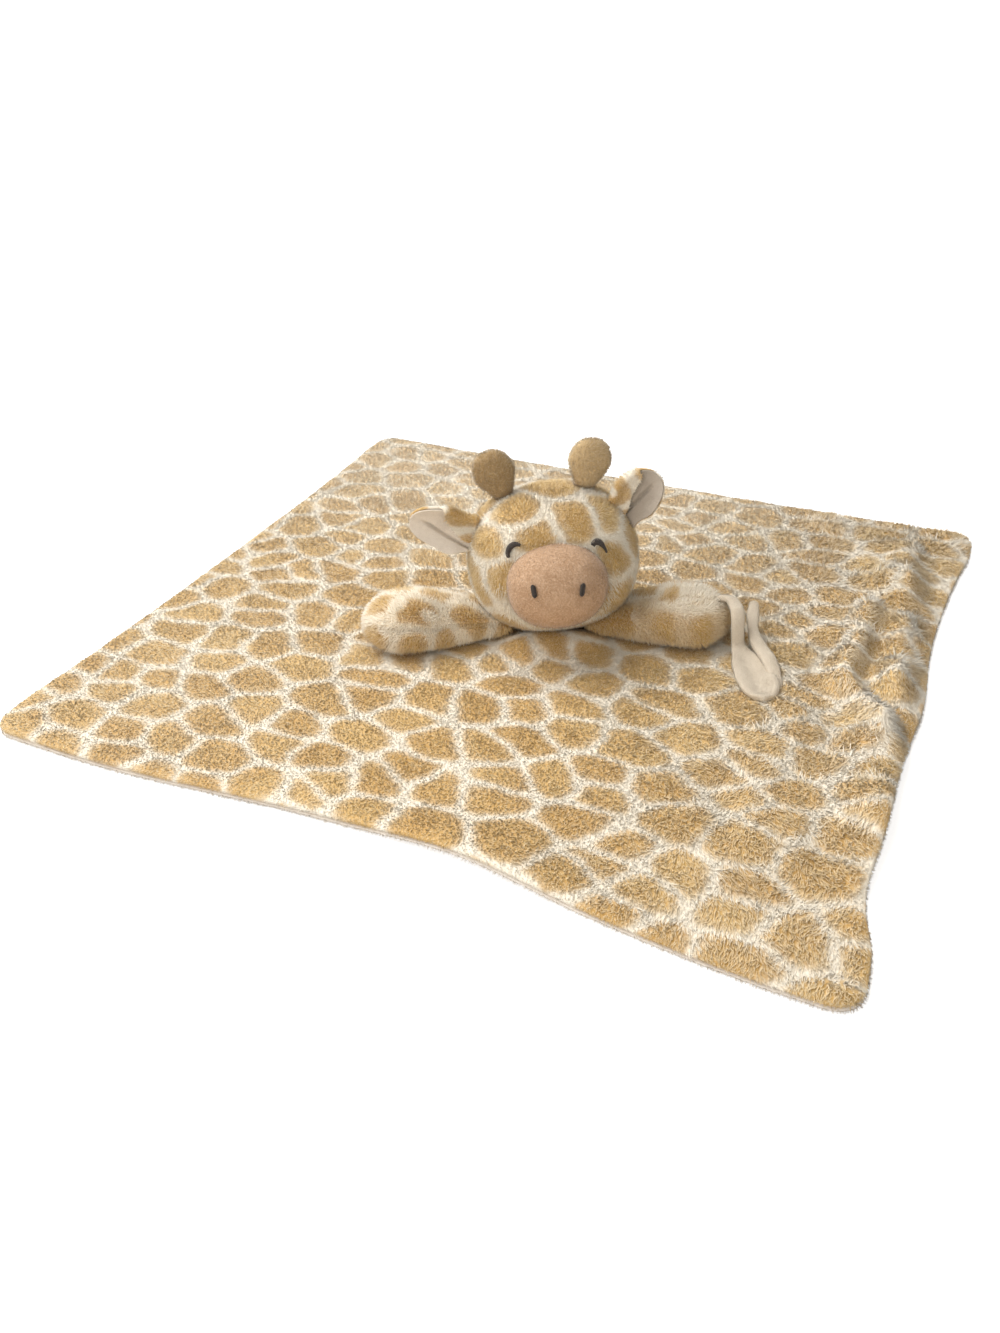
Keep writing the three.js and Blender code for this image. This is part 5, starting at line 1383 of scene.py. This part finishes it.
# %% Neck
NECK_RADIUS, NECK_BORE_RADIUS, SLEEVE_HEIGHT = 13.5, 8, 6.2
NECK_SIDES, BEAD_SIDES, GATHERS, GATHER_DEPTH, NECK_FULLNESS = 120, 24, 18, 0.03, 0.94
turn = 2 * np.pi * np.arange(NECK_SIDES)[None] / NECK_SIDES
bead = 2 * np.pi * np.arange(BEAD_SIDES)[:, None] / BEAD_SIDES
gather = 1 + GATHER_DEPTH * np.sin(GATHERS * turn)
tube_middle, tube_half = (NECK_RADIUS + NECK_BORE_RADIUS) / 2, (NECK_RADIUS - NECK_BORE_RADIUS) / 2
ring_radius = (tube_middle + tube_half * NECK_FULLNESS * np.cos(bead)) * gather
neck_points = np.stack([ring_radius * np.cos(turn), ring_radius * np.sin(turn),
                        BLANKET_TOP_Z + SEAM_GAP + SLEEVE_HEIGHT / 2 * (1 + np.sin(bead)) + 0 * turn], -1)
neck_faces, neck_map = grid_faces(BEAD_SIDES + 1, NECK_SIDES, True)
neck_faces = neck_faces % (BEAD_SIDES * NECK_SIDES)
neck_surface = Surface(neck_points.reshape(-1, 3), neck_faces[:, ::-1], neck_map[:, ::-1])
neck_seeds = scattered_seeds(np.array([NECK_RADIUS, NECK_RADIUS, 5]), 12, 5) + [0, 0, 9]
neck_cloth = giraffe_print(neck_surface.points, neck_seeds, 171)
neck_skin, neck_pile = plush_form("neck", neck_surface, neck_cloth, GIRAFFE, None, ["neck_sleeve"],
                                  printed_plush, spacing=0.55, length=1.8, width=0.7, lean=55, comb=(0, 0, -0.6),
                                  seed=181)
for piece in (neck_skin, *neck_pile):
    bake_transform(piece)

# %% [markdown]
# ## The pacifier strap
#
# A velour ribbon is sewn into the left paw's tip. It arches over, lies down and widens into a soft bowl,
# where it is folded. Its loose leg leaves the bowl's right side and comes back up to the paw. Each leg is
# given by its two edges, as rows of points in the giraffe's frame, and ovals between the edges make the
# stuffed ribbon.

# %% Strap shape
STRAP_HALF_THICKNESS, BOWL_DENT, BOWL_RIM = 1.9, 1.6, 0.8
STRAP_ROWS, STRAP_SIDES, STRAP_SEAM, STRAP_SEAM_WIDTH = 160, 44, 0.06, 0.2
# Each row: the left edge's x and y, the half width, and the height of the middle
FIXED_LEG_ROWS = [
    (80.4, -12.7, 2.2, 18.8), (82.2, -15.6, 2.7, 25.6), (85.6, -19.4, 3.0, 28.2), (87.2, -26.6, 3.3, 27.0),
    (87.4, -31.2, 3.3, 22.2), (87.5, -33.2, 3.3, 17), (87.8, -34.4, 3.5, 11.8), (87.4, -37.2, 4.6, 9.2),
    (86.7, -42, 6.8, 8.1), (86.0, -48.2, 8.8, 7.6), (85.7, -54.2, 10.2, 7.4), (86.1, -60.9, 10.5, 7.3),
    (87.3, -67.4, 9.3, 7.3), (89.5, -72.3, 7.0, 7.2), (92.8, -76, 3.4, 7.2)]
FREE_LEG_ROWS = [
    (104.4, -65.8, 1.6, 5.6), (102.6, -60.6, 2.9, 6.6), (101.6, -55, 3.3, 8.6), (100.2, -48, 3.6, 10.4),
    (98.4, -41, 3.6, 11.5), (97.3, -33.2, 3.2, 12.4), (97.3, -27.2, 2.7, 13.9), (97.8, -21, 2.8, 15.9),
    (98.9, -14.6, 3.0, 17.9), (100.7, -9, 2.6, 20.3)]


def ribbon(rows, dent):
    """A stuffed ribbon: rings of flat ovals across a smooth line. The middle of each wide oval is dented by a
    bell, its right rim stands up by another, and a seam is pressed in along both edges."""
    line, _ = smooth_line([(x + half, y, z, half) for x, y, half, z in rows], STRAP_ROWS)
    ends = np.minimum(np.linspace(0, 1, STRAP_ROWS), np.linspace(1, 0, STRAP_ROWS))
    half = line[:, 3] * np.sqrt(np.clip(ends / 0.025, 0.1, 1))
    along = unit(np.gradient(line[:, :3], axis=0))
    across = unit(np.array([1.0, 0, 0]) - along * along[:, :1])
    up = np.cross(across, along)
    turn = 2 * np.pi * np.arange(STRAP_SIDES) / STRAP_SIDES
    seam = 1 - STRAP_SEAM * bump(np.sin(turn), STRAP_SEAM_WIDTH)
    hollow = dent * bump(np.cos(turn) + 0.1, 0.45) - (dent > 0) * BOWL_RIM * bump(np.cos(turn) - 0.75, 0.2)
    hollow = hollow * ramp((half - 5) / 4)[:, None] * (np.sin(turn) > 0)
    thick = STRAP_HALF_THICKNESS * np.sqrt(np.clip(ends / 0.015, 0.2, 1))[:, None]
    wide = half[:, None] * np.cos(turn) * seam
    high = -thick * np.sign(np.sin(turn)) * np.abs(np.sin(turn)) ** 0.8 + hollow
    rings = line[:, None, :3] + across[:, None] * wide[..., None] + up[:, None] * high[..., None]
    return skin(rings, rings[0].mean(0) - 0.3 * along[0], rings[-1].mean(0) + 0.3 * along[-1])


# %% Strap
RUMPLE, RUMPLE_SIZE, FINE_RUMPLE, FINE_RUMPLE_SIZE = 0.4, 6, 0.15, 2.5
strap_pieces = {}
for name, rows, body, node, seed, dent in (
        ("strap_fixed", FIXED_LEG_ROWS, "strap", "strap_fixed_leg", 161, BOWL_DENT),
        ("strap_free", FREE_LEG_ROWS, None, "strap_free_leg", 171, 0)):
    surface = ribbon(rows, dent)
    rumple = RUMPLE * noise(surface.points, RUMPLE_SIZE, seed)
    rumple = rumple + FINE_RUMPLE * noise(surface.points, FINE_RUMPLE_SIZE, seed + 1)
    surface = Surface(surface.points + rumple[:, None] * surface.normals, surface.faces, surface.flat_map)
    strap_pieces[name] = plush_form(name, surface, plain_cloth(surface.points), GIRAFFE, body, [node],
                                    strap_velour, spacing=0.55, length=0.5, width=0.3, lean=40,
                                    comb=(0, -0.5, 0), seed=seed)

# %% [markdown]
# The loose leg opens at the fold, with its foot in the bowl. It is fixed in place and rides on no body.

# %% Strap loose leg
leg_skin, leg_nap = strap_pieces["strap_free"]
for piece in (leg_skin, *leg_nap):
    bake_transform(piece)

# %% [markdown]
# ## Cloth facts
#
# The two plies were cut to the same rectangle.

# %% [markdown]
# ## Floor and light
#
# The photograph is a cut-out on white. The floor is plain and pale, and the camera sees it as white, while
# it still takes the blanket's shadow. The light is broad and soft, from above and from the left.

# %% Floor
FLOOR_SIZE, FLOOR_DROP, FLOOR_GLOW = 30.0, 0.0004, 0.62
bpy.ops.mesh.primitive_plane_add(size=FLOOR_SIZE, location=(0, 0, -FLOOR_DROP))
floor = bpy.context.object
floor.name = "floor"
floor_material, floor_shader = new_material("floor_paper", 0.9, 0.0)
floor_shader.inputs["Base Color"].default_value = (0.8, 0.8, 0.8, 1)
floor_shader.inputs["Emission Color"].default_value = (1, 1, 1, 1)


def seen_directly(tree):
    """A link that is 1 for rays from the camera, off gloss and through glass, and 0 for light that bounces."""
    ray = tree.nodes.new("ShaderNodeLightPath")
    total = ray.outputs["Is Camera Ray"]
    for name in ("Is Glossy Ray", "Is Transmission Ray"):
        add = tree.nodes.new("ShaderNodeMath")
        add.use_clamp = True
        tree.links.new(total, add.inputs[0])
        tree.links.new(ray.outputs[name], add.inputs[1])
        total = add.outputs[0]
    return total


def between_levels(tree, share, low, high, socket):
    """Links a socket to a level that goes from low to high with the share."""
    level = tree.nodes.new("ShaderNodeMapRange")
    level.inputs["To Min"].default_value = low
    level.inputs["To Max"].default_value = high
    tree.links.new(share, level.inputs["Value"])
    tree.links.new(level.outputs["Result"], socket)


floor_tree = floor_material.node_tree
between_levels(floor_tree, seen_directly(floor_tree), 0, FLOOR_GLOW, floor_shader.inputs["Emission Strength"])
floor.data.materials.append(floor_material)

# %% Lights and world
WORLD_LEVEL, WORLD_LIGHT = 0.545, (1, 0.968, 0.91, 1)
world = bpy.data.worlds.new("studio")
bpy.context.scene.world = world
world.use_nodes = True
background = world.node_tree.nodes["Background"]
seen = seen_directly(world.node_tree)
between_levels(world.node_tree, seen, WORLD_LEVEL, 1.0, background.inputs["Strength"])
world.node_tree.links.new(mix_colours(world, seen, WORLD_LIGHT, (1, 1, 1, 1)), background.inputs["Color"])


def soft_lamp(name, place, target, size, power, colour):
    """A square area lamp that faces a target."""
    lamp = bpy.data.objects.new(name, bpy.data.lights.new(name, "AREA"))
    lamp.data.size, lamp.data.energy, lamp.data.color = size, power, colour
    lamp.location = place
    lamp.rotation_euler = (Vector(target) - Vector(place)).to_track_quat("-Z", "Y").to_euler()
    bpy.context.collection.objects.link(lamp)
    print(f"{name}: {power} watts from a square {size} m wide")


soft_lamp("key_lamp", (-0.95, 0.0, 1.5), (0, -0.05, 0), size=1.5, power=35, colour=(1, 0.98, 0.95))
soft_lamp("fill_lamp", (-0.3, -1.2, 0.6), (0, 0, 0), size=1.2, power=6.3, colour=(1, 0.96, 0.92))
bpy.context.scene.view_settings.view_transform = "Standard"
